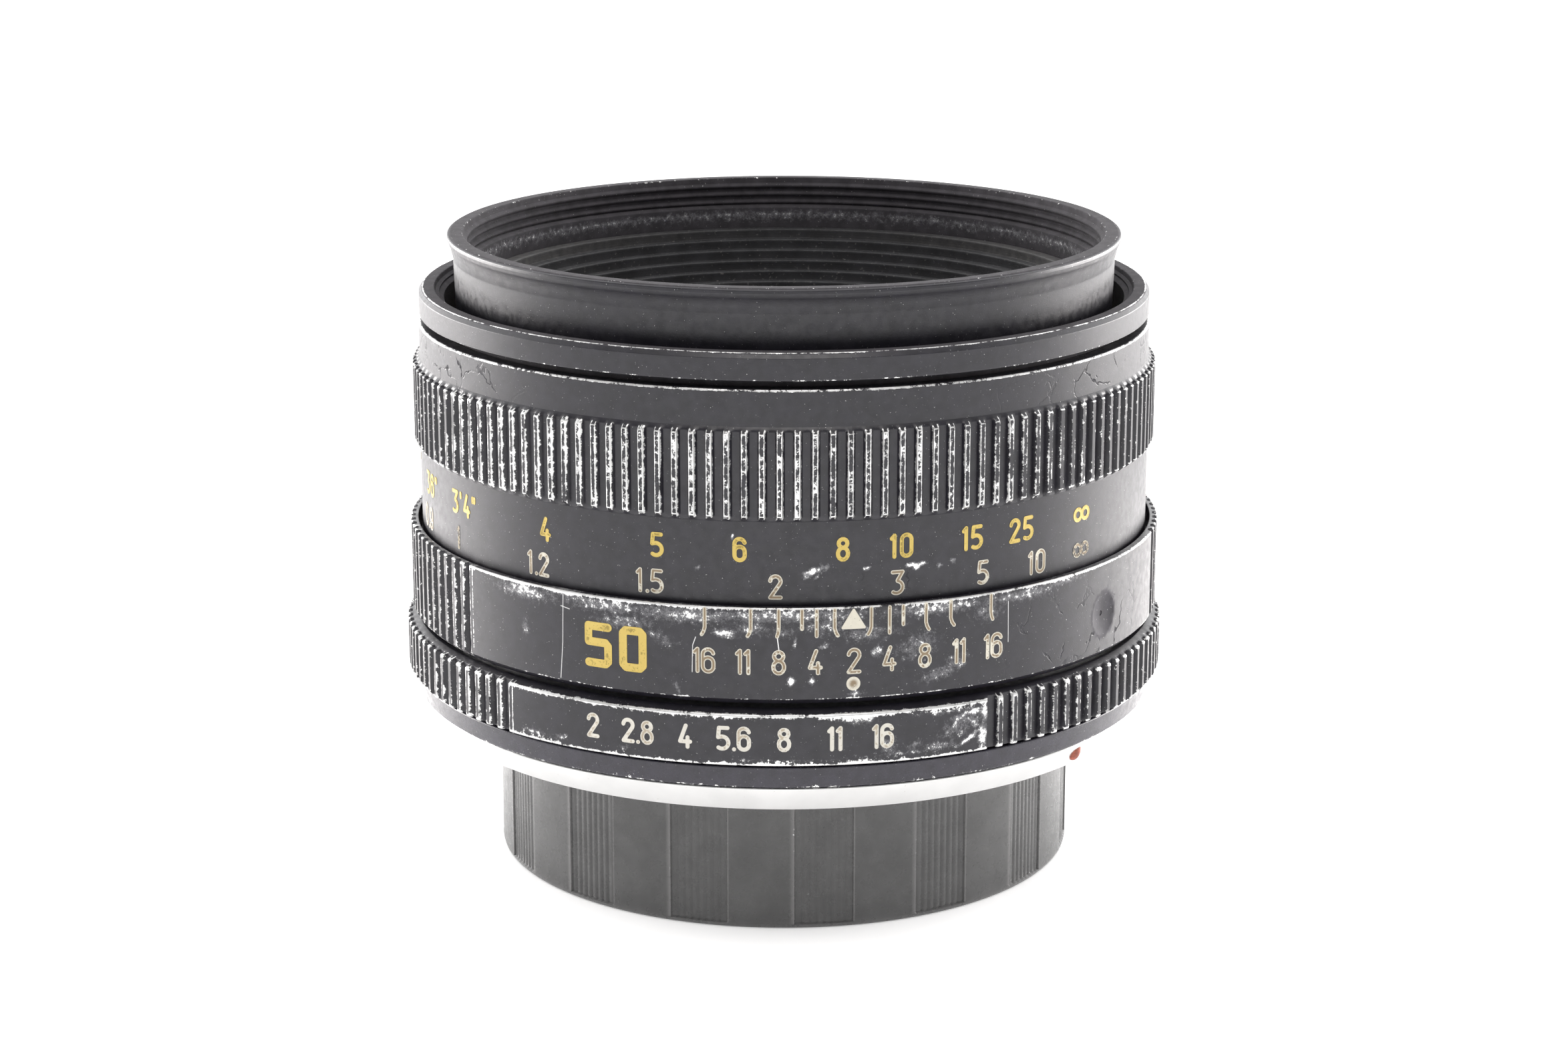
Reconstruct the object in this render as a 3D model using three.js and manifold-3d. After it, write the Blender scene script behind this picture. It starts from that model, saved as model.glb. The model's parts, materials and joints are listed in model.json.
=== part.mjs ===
// A 50 mm f/2 prime lens for a reflex camera, standing on its rear cap.
// Millimetres. +Z is the optical axis towards the subject, and z = 0 is the underside of the cap.
// Angles are in degrees, anticlockwise seen from the front, with 0 along +X. The index marks face -Y.

import * as THREE from 'three';
import { mergeVertices } from 'three/addons/utils/BufferGeometryUtils.js';
import Module from 'manifold-3d';

const wasm = await Module();
wasm.setup();

// ---- driving dimensions ----

const OUTER_SEGMENTS = 40;
const INNER_SEGMENTS = 24;
const SMALL_SEGMENTS = 8;
const SECTOR_STEP = 16; // degrees to a facet on the arc of a sector
const BALL_SEGMENTS = [10, 6];
const SURFACE_STEPS = 4; // rings of facets on each glass surface

const SEAT_GAP = 0.1; // between pieces that are screwed together
const BORE_GAP = 0.15; // round a screw in its bore, and round a glass element in its cell

const OVER = 1; // how far a cutter reaches past the solid it cuts
const LAP = 0.2; // how far two solids that are joined reach into each other

const FRONT = 270; // direction of the index marks

const CAP = { radius: 25.1, wall: 1.4, floor: 3.0, edge: 0.9, top: 12.2 };
const CAP_LUG = { inner: 22.7, low: 9.7, high: 11.4, width: 44, root: 0.3 };

const FLANGE = { seat: 12.4, top: 14.65, rearRadius: 30.6, frontRadius: 32.0 };
const THROAT = { inner: 20.8, outer: 22.3, rear: 7.6 };
const WING = { radius: 23.5, thick: 1.8, width: 60, first: 30, root: 0.4 };
const FLANGE_SCREW = { count: 4, ring: 27.6, first: 60, head: 1.1, shank: 0.6, top: 15.9, sunk: 0.05 };
const SCREW_SLOT = { width: 0.35, depth: 0.3 };
const BEAD = { angle: FRONT + 50.7, z: 13.6, radius: 0.72, ring: 31.05, pocket: 0.9 };

const SKIRT = { low: 14.75, high: 16.6, inner: 29.8, lowRadius: 32.1, highRadius: 32.5 };

const BARREL = {
  low: 14.8, seat: 16.4, seatRadius: 29.6, tubeInner: 28.5, tubeOuter: 29.3, tubeTop: 27.0,
};
const GUIDE = { inner: 23.0, outer: 25.2, top: 34.0 };
const KEY = { angles: [0, 180], width: 4, inner: 25.3, outer: 26.95, low: 24, high: 32 };

const APERTURE_RING = { low: 16.85, high: 21.05, inner: 29.6, radius: 33.0, bevel: 0.35 };
const DEPTH_RING = { low: 22.25, high: 29.75, inner: 29.5, radius: 32.5, lipInner: 31.85, web: 27.75 };
const DIMPLE = { angle: FRONT + 54.3, z: 25.4, radius: 1.85, depth: 0.4 };

const SCALE_RADIUS = 31.5;
const GRIP = { low: 36.6, high: 43.9, radius: 32.0, bevel: 0.35 };
const BAND = { radius: 31.4, top: 47.0 };
const FOCUS_RING = { low: 28.0, inner: 29.45, counterbore: 30.2, counterboreLow: 44.9 };
const SLEEVE = { inner: 27.4, outer: 29.2, neck: 28.3, low: 22.0, shoulder: 27.15, top: 44.7 };
const STOP_SCREW = { angle: 200, z: 24.5, radius: 0.8, inner: 27.7, outer: 29.35, groove: 1.0 };
const FOCUS_TRAVEL = { infinity: -40.3, close: 232.1, spare: 3 };
const GRUB_SCREW = { angles: [30, 150, 270], z: 40, radius: 0.7, inner: 28.3, outer: 30.8, bore: 28.1 };

const OUTER_RING = {
  low: 45.1, seat: 47.65, top: 49.85, inner: 29.2, neck: 29.95, radius: 31.35, rim: 30.0,
  bevel: 0.35, rimDepth: 0.7, rimSlope: 0.2,
};

const HELICOID = { inner: 25.5, outer: 27.15, low: 24.2, top: 41.1, keyway: 4.6, keywayTop: 33.6 };
const FRONT_BARREL = {
  low: 41.3, web: 43.0, bore: 19.4, neck: 27.15, skirt: 46.2, radius: 28.35, wall: 26.7, fillet: 2,
};
const LIP = {
  top: 54.45, radius: 28.85, root: 28.6, bevel: 0.35, edge: 0.2, low: 53.55,
  inner: 27.5, chamfer: 0.5, thread: 27.0, threadLow: 52.6, threadEnd: 0.3,
};
const BAFFLE = {
  steps: 10, top: 49.9, topRadius: 26.3, stepRadius: 0.86, stepHeight: 0.83,
  outer: 26.5, rim: 49.0, foot: 18.9, footLow: 42.6, heel: 19.6, heelLow: 43.3,
};

const FRONT_CELL = { radius: 19.2, low: 23.6, lowerSeat: 27.85, upperSeat: 33.8, top: 40.9 };
const RETAINER = { inner: 14.6, outer: 15.6, low: 36.0, top: 37.4, notch: 1.4, notchLow: 36.9 };
const SPACER = { inner: 12.7, outer: 13.2, low: 30.4, top: 33.6 };
const REAR_CELL = {
  radius: 14.3, flange: 20.0, low: 5.9, ledgeLow: 9.3, ledgeTop: 13.3, ledge: 11.3,
  flangeLow: 18.8, top: 20.2,
};
const REAR_RETAINER = { inner: 11.2, outer: 12.2, low: 6.1, top: 7.4 };

// Each element: heights of its two vertices, its two radii of curvature (positive is convex
// towards the subject), the clear radius of each surface and the radius of its edge.
const ELEMENTS = [
  { name: 'lens_element_1_front', heights: [39.0, 34.8], curves: [34, 150], clear: [15.6, 15.6], edge: 15.6 },
  { name: 'lens_element_2', heights: [34.4, 30.4], curves: [21, 38], clear: [13.2, 13.2], edge: 13.2 },
  { name: 'lens_element_3', heights: [29.3, 27.7], curves: [45, 15.5], clear: [12.0, 10.2], edge: 12.0 },
  { name: 'lens_element_4', heights: [16.8, 15.4], curves: [-16, 80], clear: [9.6, 11.8], edge: 11.8 },
  { name: 'lens_element_5', heights: [15.3, 10.4], curves: [80, -22], clear: [11.8, 11.8], edge: 11.8 },
  { name: 'lens_element_6_rear', heights: [9.9, 6.3], curves: [80, -45], clear: [12.2, 12.2], edge: 12.2 },
];

const IRIS = { low: 20.35, floor: 20.75, top: 23.45, radius: 20.0, inner: 19.35, hole: 10.4 };
const BLADE = {
  count: 6, pivotRadius: 17.4, firstPivot: 58.5, inner: 10.45, outer: 16.6, start: -6, end: 125,
  low: 20.95, pitch: 0.3, thick: 0.15, boss: 1.0, pin: 0.4, pinGap: 0.12, turnPerRing: 0.7319,
};
const STUD = { along: -0.4, across: -2.0, radius: 0.35, slot: 0.55, tail: 0.6, link: 1.2, root: 0.05 };
const DRIVE_SLOT = { steps: 14, spare: 2, ahead: 0.5 }; // spare and ahead in degrees of the ring
const DRIVE_RING = { low: 22.75, high: 23.2, inner: 10.7, outer: 19.15, armOuter: 21.5, armWidth: 1.8 };

const APERTURE_TRAVEL = { closed: -4.1, open: 37.3 };
const DETENT = {
  count: 13, ring: 30.65, radius: 0.75, depth: 0.25, ball: 0.7, ballZ: 21.85, bore: 0.95, boreTop: 26.65,
  angle: 130,
};
const CLICK_SPRING = { radius: 0.6, wire: 0.15, length: 3.4, turns: 5, low: 22.85 };
const RETURN_SPRING = { radius: 0.55, wire: 0.15, length: 6, turns: 7, place: [-17.6, 3, 10.8] };
const FORK = {
  angle: 70, low: 17.6, armTop: 19.9, top: 29.9, armWidth: 6, armOuter: 29.25,
  prongInner: 20.5, prongRoot: 22.0, prongOuter: 22.5, backOuter: 22.65, slot: 2.4, prong: 1.2,
  window: 0.3, sweep: 9, driveSweep: 5,
};
const CAM = {
  inner: 19.7, outer: 20.5, low: 7.8, ramp: 9.5, rampTilt: 6.5, high: 17.4, from: 58, to: 96,
  clear: 0.4, sweep: 3, cutter: [12, 30, 4],
};

const REAR_BAFFLE = { low: 8.0, high: 8.8, inner: 14.8, outer: 20.55 };
const STOP_DOWN = {
  inner: 17.0, outer: 19.3, low: 8.95, high: 9.9, angle: 250, halfWidth: 2.5,
  tabInner: 18, tabOuter: 19, tabLow: 5.6, clear: 0.4, sweep: 6, travel: 16,
};

// ---- colours and finishes ----

const finish = (color, metalness, roughness) => ({ color, metalness, roughness });
const BLACK_ANODISED = finish(0x1c1b1d, 0.5, 0.42);
const MATT_BLACK = finish(0x0d0d0e, 0.2, 0.8);
const CHROME = finish(0xe6e4e0, 1.0, 0.12);
const BRASS = finish(0xb08d4a, 1.0, 0.35);
const ALUMINIUM = finish(0xa9a9aa, 1.0, 0.4);
const STEEL = finish(0x8f8f92, 1.0, 0.3);
const RED_PLASTIC = finish(0x8e2f22, 0.0, 0.3);
const BLACK_PLASTIC = finish(0x151515, 0.0, 0.3);
const GLASS = finish(0xbfc8dd, 0.0, 0.02);

// ---- solid helpers ----

const radians = (degrees) => THREE.MathUtils.degToRad(degrees);

function solidFrom(geometry) {
  geometry.deleteAttribute('normal');
  geometry.deleteAttribute('uv');
  const merged = mergeVertices(geometry, 1e-4);
  const corners = merged.index.array;
  const kept = [];
  for (let i = 0; i < corners.length; i += 3) {
    const [a, b, c] = [corners[i], corners[i + 1], corners[i + 2]];
    if (a !== b && b !== c && c !== a) kept.push(a, b, c);
  }
  const mesh = new wasm.Mesh({
    numProp: 3,
    vertProperties: new Float32Array(merged.attributes.position.array),
    triVerts: new Uint32Array(kept),
  });
  return new wasm.Manifold(mesh);
}

// A solid of revolution from a closed outline of [radius, height] corners.
function turned(outline, segments = OUTER_SEGMENTS) {
  const points = outline.map(([r, z]) => new THREE.Vector2(r, z));
  if (THREE.ShapeUtils.area(points) < 0) points.reverse();
  points.push(points[0].clone());
  return solidFrom(new THREE.LatheGeometry(points, segments).rotateX(Math.PI / 2));
}

function extruded(shape, low, high, curveSegments = INNER_SEGMENTS) {
  const options = { depth: high - low, bevelEnabled: false, curveSegments };
  return solidFrom(new THREE.ExtrudeGeometry(shape, options).translate(0, 0, low));
}

function sector(inner, outer, low, high, from, to) {
  const shape = new THREE.Shape();
  shape.absarc(0, 0, outer, radians(from), radians(to), false);
  shape.absarc(0, 0, inner, radians(to), radians(from), true);
  const steps = Math.max(1, Math.ceil((to - from) / SECTOR_STEP));
  return extruded(shape, low, high, steps);
}

function block(inner, outer, width, low, high, angle) {
  const geometry = new THREE.BoxGeometry(outer - inner, width, high - low);
  geometry.translate((inner + outer) / 2, 0, (low + high) / 2);
  return solidFrom(geometry.rotateZ(radians(angle)));
}

function rod(radius, low, high, x, y, segments = SMALL_SEGMENTS) {
  const geometry = new THREE.CylinderGeometry(radius, radius, high - low, segments);
  return solidFrom(geometry.rotateX(Math.PI / 2).translate(x, y, (low + high) / 2));
}

function radialRod(radius, inner, outer, z, angle) {
  const geometry = new THREE.CylinderGeometry(radius, radius, outer - inner, SMALL_SEGMENTS);
  geometry.rotateZ(Math.PI / 2).translate((inner + outer) / 2, 0, z);
  return solidFrom(geometry.rotateZ(radians(angle)));
}

function ball(radius, x, y, z) {
  return solidFrom(new THREE.SphereGeometry(radius, ...BALL_SEGMENTS).translate(x, y, z));
}

function polar(radius, angle) {
  return [radius * Math.cos(radians(angle)), radius * Math.sin(radians(angle))];
}

const joined = (...solids) => solids.reduce((whole, piece) => whole.add(piece));
const cut = (solid, ...tools) => tools.reduce((whole, tool) => whole.subtract(tool), solid);
const turnedBy = (solid, angle) => solid.rotate([0, 0, angle]);

const lens = new THREE.Group();

function place(name, solid, look) {
  const { vertProperties, triVerts } = solid.getMesh();
  const geometry = new THREE.BufferGeometry();
  geometry.setAttribute('position', new THREE.BufferAttribute(vertProperties, 3));
  geometry.setIndex(new THREE.BufferAttribute(triVerts, 1));
  geometry.computeVertexNormals();
  const mesh = new THREE.Mesh(geometry, new THREE.MeshStandardMaterial(look));
  mesh.name = name;
  lens.add(mesh);
}

// ---- rear cap ----

const capSteps = [0, 30, 60, 90];
const capEdge = capSteps.map((a) => [
  CAP.radius - CAP.edge + CAP.edge * Math.sin(radians(a)),
  CAP.edge - CAP.edge * Math.cos(radians(a)),
]);
const capInner = CAP.radius - CAP.wall;
const capShell = turned([
  [0, 0], ...capEdge, [CAP.radius, CAP.top], [capInner, CAP.top], [capInner, CAP.floor], [0, CAP.floor],
]);
// The lugs stand halfway between the bayonet wings, where the cap can be drawn off.
const capLugs = [0, 1, 2].map((i) => {
  const from = WING.first + 60 + 120 * i - CAP_LUG.width / 2;
  const outer = capInner + CAP_LUG.root;
  return sector(CAP_LUG.inner, outer, CAP_LUG.low, CAP_LUG.high, from, from + CAP_LUG.width);
});
place('rear_cap', joined(capShell, ...capLugs), BLACK_PLASTIC);

// ---- bayonet flange, its screws and the mounting bead ----

const flangeBody = turned([
  [THROAT.inner, THROAT.rear], [THROAT.outer, THROAT.rear], [THROAT.outer, FLANGE.seat],
  [FLANGE.rearRadius, FLANGE.seat], [FLANGE.frontRadius, FLANGE.top], [THROAT.inner, FLANGE.top],
]);
const wings = [0, 1, 2].map((i) => {
  const from = WING.first - WING.width / 2 + 120 * i;
  const [inner, high] = [THROAT.outer - WING.root, THROAT.rear + WING.thick];
  return sector(inner, WING.radius, THROAT.rear, high, from, from + WING.width);
});
const screwPlaces = Array.from({ length: FLANGE_SCREW.count }, (_, i) =>
  polar(FLANGE_SCREW.ring, FLANGE_SCREW.first + (360 / FLANGE_SCREW.count) * i));
const screwHeadTop = FLANGE.seat + FLANGE_SCREW.head;
const screwBores = screwPlaces.flatMap(([x, y]) => [
  rod(FLANGE_SCREW.head + BORE_GAP, FLANGE.seat - OVER, screwHeadTop + SEAT_GAP, x, y),
  rod(FLANGE_SCREW.shank + BORE_GAP, FLANGE.seat, FLANGE.top + OVER, x, y),
]);
const beadPlace = [...polar(BEAD.ring, BEAD.angle), BEAD.z];
const flange = cut(joined(flangeBody, ...wings), ...screwBores, ball(BEAD.pocket, ...beadPlace));
place('bayonet_flange', flange, CHROME);
place('mount_index_bead', ball(BEAD.radius, ...beadPlace), RED_PLASTIC);

screwPlaces.forEach(([x, y], i) => {
  const head = rod(FLANGE_SCREW.head, FLANGE.seat + FLANGE_SCREW.sunk, screwHeadTop, x, y);
  const shank = rod(FLANGE_SCREW.shank, screwHeadTop - LAP, FLANGE_SCREW.top, x, y);
  const slotSize = [2 * FLANGE_SCREW.head + OVER, SCREW_SLOT.width, 2 * SCREW_SLOT.depth];
  const slot = solidFrom(new THREE.BoxGeometry(...slotSize).translate(x, y, FLANGE.seat));
  place(`flange_screw_${i + 1}`, cut(joined(head, shank), slot), STEEL);
});

// ---- fixed barrel ----

place('rear_skirt', turned([
  [SKIRT.inner, SKIRT.low], [SKIRT.lowRadius, SKIRT.low], [SKIRT.highRadius, SKIRT.high],
  [SKIRT.inner, SKIRT.high],
]), BLACK_ANODISED);

// The angles that something at `from` to `to` on the aperture ring sweeps, and `spare` more each way.
function apertureSweep(from, to, spare) {
  return [from + APERTURE_TRAVEL.closed - spare, to + APERTURE_TRAVEL.open + spare];
}

const forkSweep = apertureSweep(FORK.angle, FORK.angle, FORK.sweep);
const forkWindows = [[BARREL.tubeInner, BARREL.tubeOuter], [GUIDE.inner, GUIDE.outer]].map(([inner, outer]) =>
  sector(inner - OVER, outer + OVER, FORK.low - FORK.window, FORK.armTop + FORK.window, ...forkSweep));
const barrelScrewBores = screwPlaces.map(([x, y]) =>
  rod(FLANGE_SCREW.shank + BORE_GAP, BARREL.low - OVER, FLANGE_SCREW.top + SEAT_GAP, x, y));
const stopScrewBore = radialRod(
  STOP_SCREW.radius + BORE_GAP, BARREL.tubeInner - OVER, BARREL.tubeOuter + OVER,
  STOP_SCREW.z, STOP_SCREW.angle,
);
const mainBarrel = cut(
  turned([
    [GUIDE.inner, BARREL.low], [BARREL.seatRadius, BARREL.low], [BARREL.seatRadius, BARREL.seat],
    [BARREL.tubeOuter, BARREL.seat], [BARREL.tubeOuter, BARREL.tubeTop], [BARREL.tubeInner, BARREL.tubeTop],
    [BARREL.tubeInner, BARREL.seat], [GUIDE.outer, BARREL.seat], [GUIDE.outer, GUIDE.top],
    [GUIDE.inner, GUIDE.top],
  ]),
  ...forkWindows,
  ...barrelScrewBores,
  stopScrewBore,
);
place('main_barrel', mainBarrel, ALUMINIUM);

KEY.angles.forEach((angle, i) => {
  const key = block(KEY.inner, KEY.outer, KEY.width, KEY.low, KEY.high, angle);
  place(`guide_key_${i + 1}`, key, BRASS);
});

const [detentX, detentY] = polar(DETENT.ring, DETENT.angle);
const dimpleCutter = radialRod(
  DIMPLE.radius, DEPTH_RING.radius - DIMPLE.depth, DEPTH_RING.radius + OVER, DIMPLE.z, DIMPLE.angle,
);
const depthRing = turned([
  [DEPTH_RING.inner, DEPTH_RING.low], [DEPTH_RING.radius, DEPTH_RING.low],
  [DEPTH_RING.radius, DEPTH_RING.high], [DEPTH_RING.lipInner, DEPTH_RING.high],
  [DEPTH_RING.lipInner, DEPTH_RING.web], [DEPTH_RING.inner, DEPTH_RING.web],
]);
const springBore = rod(DETENT.bore, DEPTH_RING.low - OVER, DETENT.boreTop, detentX, detentY);
place('depth_scale_ring', cut(depthRing, springBore, dimpleCutter), BLACK_ANODISED);

// ---- click ball and its spring ----

class Coil extends THREE.Curve {
  constructor(radius, length, turns) {
    super();
    Object.assign(this, { radius, length, turns });
  }

  getPoint(t, target = new THREE.Vector3()) {
    const angle = 2 * Math.PI * this.turns * t;
    return target.set(this.radius * Math.cos(angle), this.radius * Math.sin(angle), this.length * t);
  }
}

function coilSpring({ radius, wire, length, turns }) {
  const section = new THREE.Shape();
  section.absarc(0, 0, wire, 0, 2 * Math.PI, false);
  const options = { steps: turns * SMALL_SEGMENTS, bevelEnabled: false, curveSegments: 3 };
  options.extrudePath = new Coil(radius, length, turns);
  return solidFrom(new THREE.ExtrudeGeometry(section, options));
}

place('click_ball', ball(DETENT.ball, detentX, detentY, DETENT.ballZ), STEEL);
const clickSpring = coilSpring(CLICK_SPRING).translate([detentX, detentY, CLICK_SPRING.low]);
place('click_spring', clickSpring, STEEL);

place('focus_stop_screw',
  radialRod(STOP_SCREW.radius, STOP_SCREW.inner, STOP_SCREW.outer, STOP_SCREW.z, STOP_SCREW.angle), STEEL);

// ---- rear baffle and stop-down ring ----

const camSweep = apertureSweep(CAM.from, CAM.to, CAM.sweep);
const tabSweep = [STOP_DOWN.angle - STOP_DOWN.sweep, STOP_DOWN.angle + STOP_DOWN.travel + STOP_DOWN.sweep];
const baffleCut = (inner, outer, sweep) =>
  sector(inner, outer, REAR_BAFFLE.low - OVER, REAR_BAFFLE.high + OVER, ...sweep);
const rearBaffle = cut(
  turned([
    [REAR_BAFFLE.inner, REAR_BAFFLE.low], [REAR_BAFFLE.outer, REAR_BAFFLE.low],
    [REAR_BAFFLE.outer, REAR_BAFFLE.high], [REAR_BAFFLE.inner, REAR_BAFFLE.high],
  ], INNER_SEGMENTS),
  baffleCut(CAM.inner - CAM.clear, CAM.outer + OVER, camSweep),
  baffleCut(STOP_DOWN.tabInner - STOP_DOWN.clear, STOP_DOWN.tabOuter + STOP_DOWN.clear, tabSweep),
);
place('rear_baffle', rearBaffle, MATT_BLACK);

const stopDownRing = joined(
  turned([
    [STOP_DOWN.inner, STOP_DOWN.low], [STOP_DOWN.outer, STOP_DOWN.low],
    [STOP_DOWN.outer, STOP_DOWN.high], [STOP_DOWN.inner, STOP_DOWN.high],
  ], INNER_SEGMENTS),
  sector(STOP_DOWN.tabInner, STOP_DOWN.tabOuter, STOP_DOWN.tabLow, STOP_DOWN.high,
    STOP_DOWN.angle - STOP_DOWN.halfWidth, STOP_DOWN.angle + STOP_DOWN.halfWidth),
);
place('stop_down_ring', stopDownRing, STEEL);
const returnSpring = coilSpring(RETURN_SPRING).rotate([90, 0, 0]).translate(RETURN_SPRING.place);
place('stop_down_spring', returnSpring, STEEL);

// ---- focusing ring and the parts that turn with it ----

const grubCutters = GRUB_SCREW.angles.map((angle) =>
  radialRod(GRUB_SCREW.radius + LAP, GRUB_SCREW.bore, GRUB_SCREW.outer + LAP, GRUB_SCREW.z, angle));
const focusRing = cut(
  turned([
    [FOCUS_RING.inner, FOCUS_RING.low], [SCALE_RADIUS, FOCUS_RING.low], [SCALE_RADIUS, GRIP.low],
    [GRIP.radius, GRIP.low + GRIP.bevel], [GRIP.radius, GRIP.high - GRIP.bevel], [BAND.radius, GRIP.high],
    [BAND.radius, BAND.top], [FOCUS_RING.counterbore, BAND.top],
    [FOCUS_RING.counterbore, FOCUS_RING.counterboreLow], [FOCUS_RING.inner, FOCUS_RING.counterboreLow],
  ]),
  ...grubCutters,
);
place('focus_ring', focusRing, BLACK_ANODISED);

const stopFrom = STOP_SCREW.angle - FOCUS_TRAVEL.close - FOCUS_TRAVEL.spare;
const stopTo = STOP_SCREW.angle - FOCUS_TRAVEL.infinity + FOCUS_TRAVEL.spare;
const stopGroove = sector(
  SLEEVE.inner - OVER, SLEEVE.neck + OVER,
  STOP_SCREW.z - STOP_SCREW.groove, STOP_SCREW.z + STOP_SCREW.groove, stopFrom, stopTo,
);
const sleeve = cut(
  turned([
    [SLEEVE.inner, SLEEVE.low], [SLEEVE.neck, SLEEVE.low], [SLEEVE.neck, SLEEVE.shoulder],
    [SLEEVE.outer, SLEEVE.shoulder], [SLEEVE.outer, SLEEVE.top], [SLEEVE.inner, SLEEVE.top],
  ]),
  stopGroove,
  ...grubCutters,
);
place('helicoid_sleeve', sleeve, BRASS);

GRUB_SCREW.angles.forEach((angle, i) => {
  const screw = radialRod(GRUB_SCREW.radius, GRUB_SCREW.inner, GRUB_SCREW.outer, GRUB_SCREW.z, angle);
  place(`focus_grub_screw_${i + 1}`, screw, STEEL);
});

place('front_outer_ring', turned([
  [OUTER_RING.inner, OUTER_RING.low], [OUTER_RING.neck, OUTER_RING.low], [OUTER_RING.neck, OUTER_RING.seat],
  [OUTER_RING.radius, OUTER_RING.seat], [OUTER_RING.radius, OUTER_RING.top - OUTER_RING.bevel],
  [OUTER_RING.radius - OUTER_RING.bevel, OUTER_RING.top], [OUTER_RING.rim, OUTER_RING.top],
  [OUTER_RING.rim, OUTER_RING.top - OUTER_RING.rimDepth],
  [OUTER_RING.inner, OUTER_RING.top - OUTER_RING.rimDepth - OUTER_RING.rimSlope],
]), BLACK_ANODISED);

// ---- moving optical unit: barrel, helicoid and baffle ----

const keyways = KEY.angles.map((angle) =>
  block(HELICOID.inner - OVER, HELICOID.outer + OVER, HELICOID.keyway,
    HELICOID.low - OVER, HELICOID.keywayTop, angle));
const helicoid = cut(
  turned([
    [HELICOID.inner, HELICOID.low], [HELICOID.outer, HELICOID.low],
    [HELICOID.outer, HELICOID.top], [HELICOID.inner, HELICOID.top],
  ]),
  ...keyways,
);
place('inner_helicoid', helicoid, ALUMINIUM);

place('front_barrel', turned([
  [FRONT_BARREL.bore, FRONT_BARREL.low], [FRONT_BARREL.neck, FRONT_BARREL.low],
  [FRONT_BARREL.neck, FRONT_BARREL.skirt], [FRONT_BARREL.radius, FRONT_BARREL.skirt],
  [LIP.root, LIP.low], [LIP.radius, LIP.top - LIP.bevel], [LIP.radius - LIP.edge, LIP.top],
  [LIP.inner, LIP.top], [LIP.thread, LIP.top - LIP.chamfer], [LIP.thread, LIP.threadLow],
  [FRONT_BARREL.wall, LIP.threadLow - LIP.threadEnd],
  [FRONT_BARREL.wall, FRONT_BARREL.web + FRONT_BARREL.fillet],
  [FRONT_BARREL.wall - FRONT_BARREL.fillet, FRONT_BARREL.web], [FRONT_BARREL.bore, FRONT_BARREL.web],
]), BLACK_ANODISED);

const stair = [];
for (let i = 0; i < BAFFLE.steps; i += 1) {
  const radius = BAFFLE.topRadius - BAFFLE.stepRadius * i;
  const height = BAFFLE.top - BAFFLE.stepHeight * i;
  stair.push([radius, height], [radius - BAFFLE.stepRadius, height]);
}
const stairFoot = BAFFLE.top - BAFFLE.stepHeight * BAFFLE.steps;
place('stepped_baffle', turned([
  ...stair, [BAFFLE.foot, stairFoot], [BAFFLE.foot, BAFFLE.footLow], [BAFFLE.heel, BAFFLE.heelLow],
  [BAFFLE.outer, BAFFLE.rim], [BAFFLE.outer, BAFFLE.top],
], INNER_SEGMENTS), MATT_BLACK);

// ---- lens cells ----

const [first, second, third, fourth, fifth, sixth] = ELEMENTS;
const boreOf = (element) => element.edge + BORE_GAP;

place('front_cell', turned([
  [boreOf(third), FRONT_CELL.low], [boreOf(third), FRONT_CELL.lowerSeat],
  [boreOf(second), FRONT_CELL.lowerSeat], [boreOf(second), FRONT_CELL.upperSeat],
  [boreOf(first), FRONT_CELL.upperSeat], [boreOf(first), FRONT_CELL.top],
  [FRONT_CELL.radius, FRONT_CELL.top], [FRONT_CELL.radius, FRONT_CELL.low],
], INNER_SEGMENTS), MATT_BLACK);

function plainRing({ inner, outer, low, top }) {
  return turned([[inner, low], [outer, low], [outer, top], [inner, top]], INNER_SEGMENTS);
}

const notches = [0, 180].map((angle) =>
  block(RETAINER.inner - LAP, RETAINER.outer + LAP, RETAINER.notch,
    RETAINER.notchLow, RETAINER.top + OVER, angle));
place('front_retaining_ring', cut(plainRing(RETAINER), ...notches), MATT_BLACK);
place('element_spacer_ring', plainRing(SPACER), MATT_BLACK);

place('rear_cell', turned([
  [REAR_CELL.ledge, REAR_CELL.ledgeTop], [boreOf(fifth), REAR_CELL.ledgeTop], [boreOf(fifth), REAR_CELL.top],
  [REAR_CELL.flange, REAR_CELL.top], [REAR_CELL.flange, REAR_CELL.flangeLow],
  [REAR_CELL.radius, REAR_CELL.flangeLow], [REAR_CELL.radius, REAR_CELL.low],
  [boreOf(sixth), REAR_CELL.low], [boreOf(sixth), REAR_CELL.ledgeLow], [REAR_CELL.ledge, REAR_CELL.ledgeLow],
], INNER_SEGMENTS), MATT_BLACK);
place('rear_retaining_ring', plainRing(REAR_RETAINER), MATT_BLACK);

// ---- glass ----

function surfaceHeight(vertex, curve, radius) {
  const size = Math.abs(curve);
  return vertex - Math.sign(curve) * (size - Math.sqrt(size * size - radius * radius));
}

function surfacePoints(vertex, curve, clear) {
  return Array.from({ length: SURFACE_STEPS + 1 }, (_, i) => {
    const radius = (clear * i) / SURFACE_STEPS;
    return [radius, surfaceHeight(vertex, curve, radius)];
  });
}

for (const element of ELEMENTS) {
  const [upper, lower] = [0, 1].map((side) =>
    surfacePoints(element.heights[side], element.curves[side], element.clear[side]));
  lower.reverse();
  const shoulders = [];
  if (element.clear[0] < element.edge) shoulders.push([element.edge, upper.at(-1)[1]]);
  if (element.clear[1] < element.edge) shoulders.push([element.edge, lower[0][1]]);
  place(element.name, turned([...upper, ...shoulders, ...lower], INNER_SEGMENTS), GLASS);
}

// ---- iris ----

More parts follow.
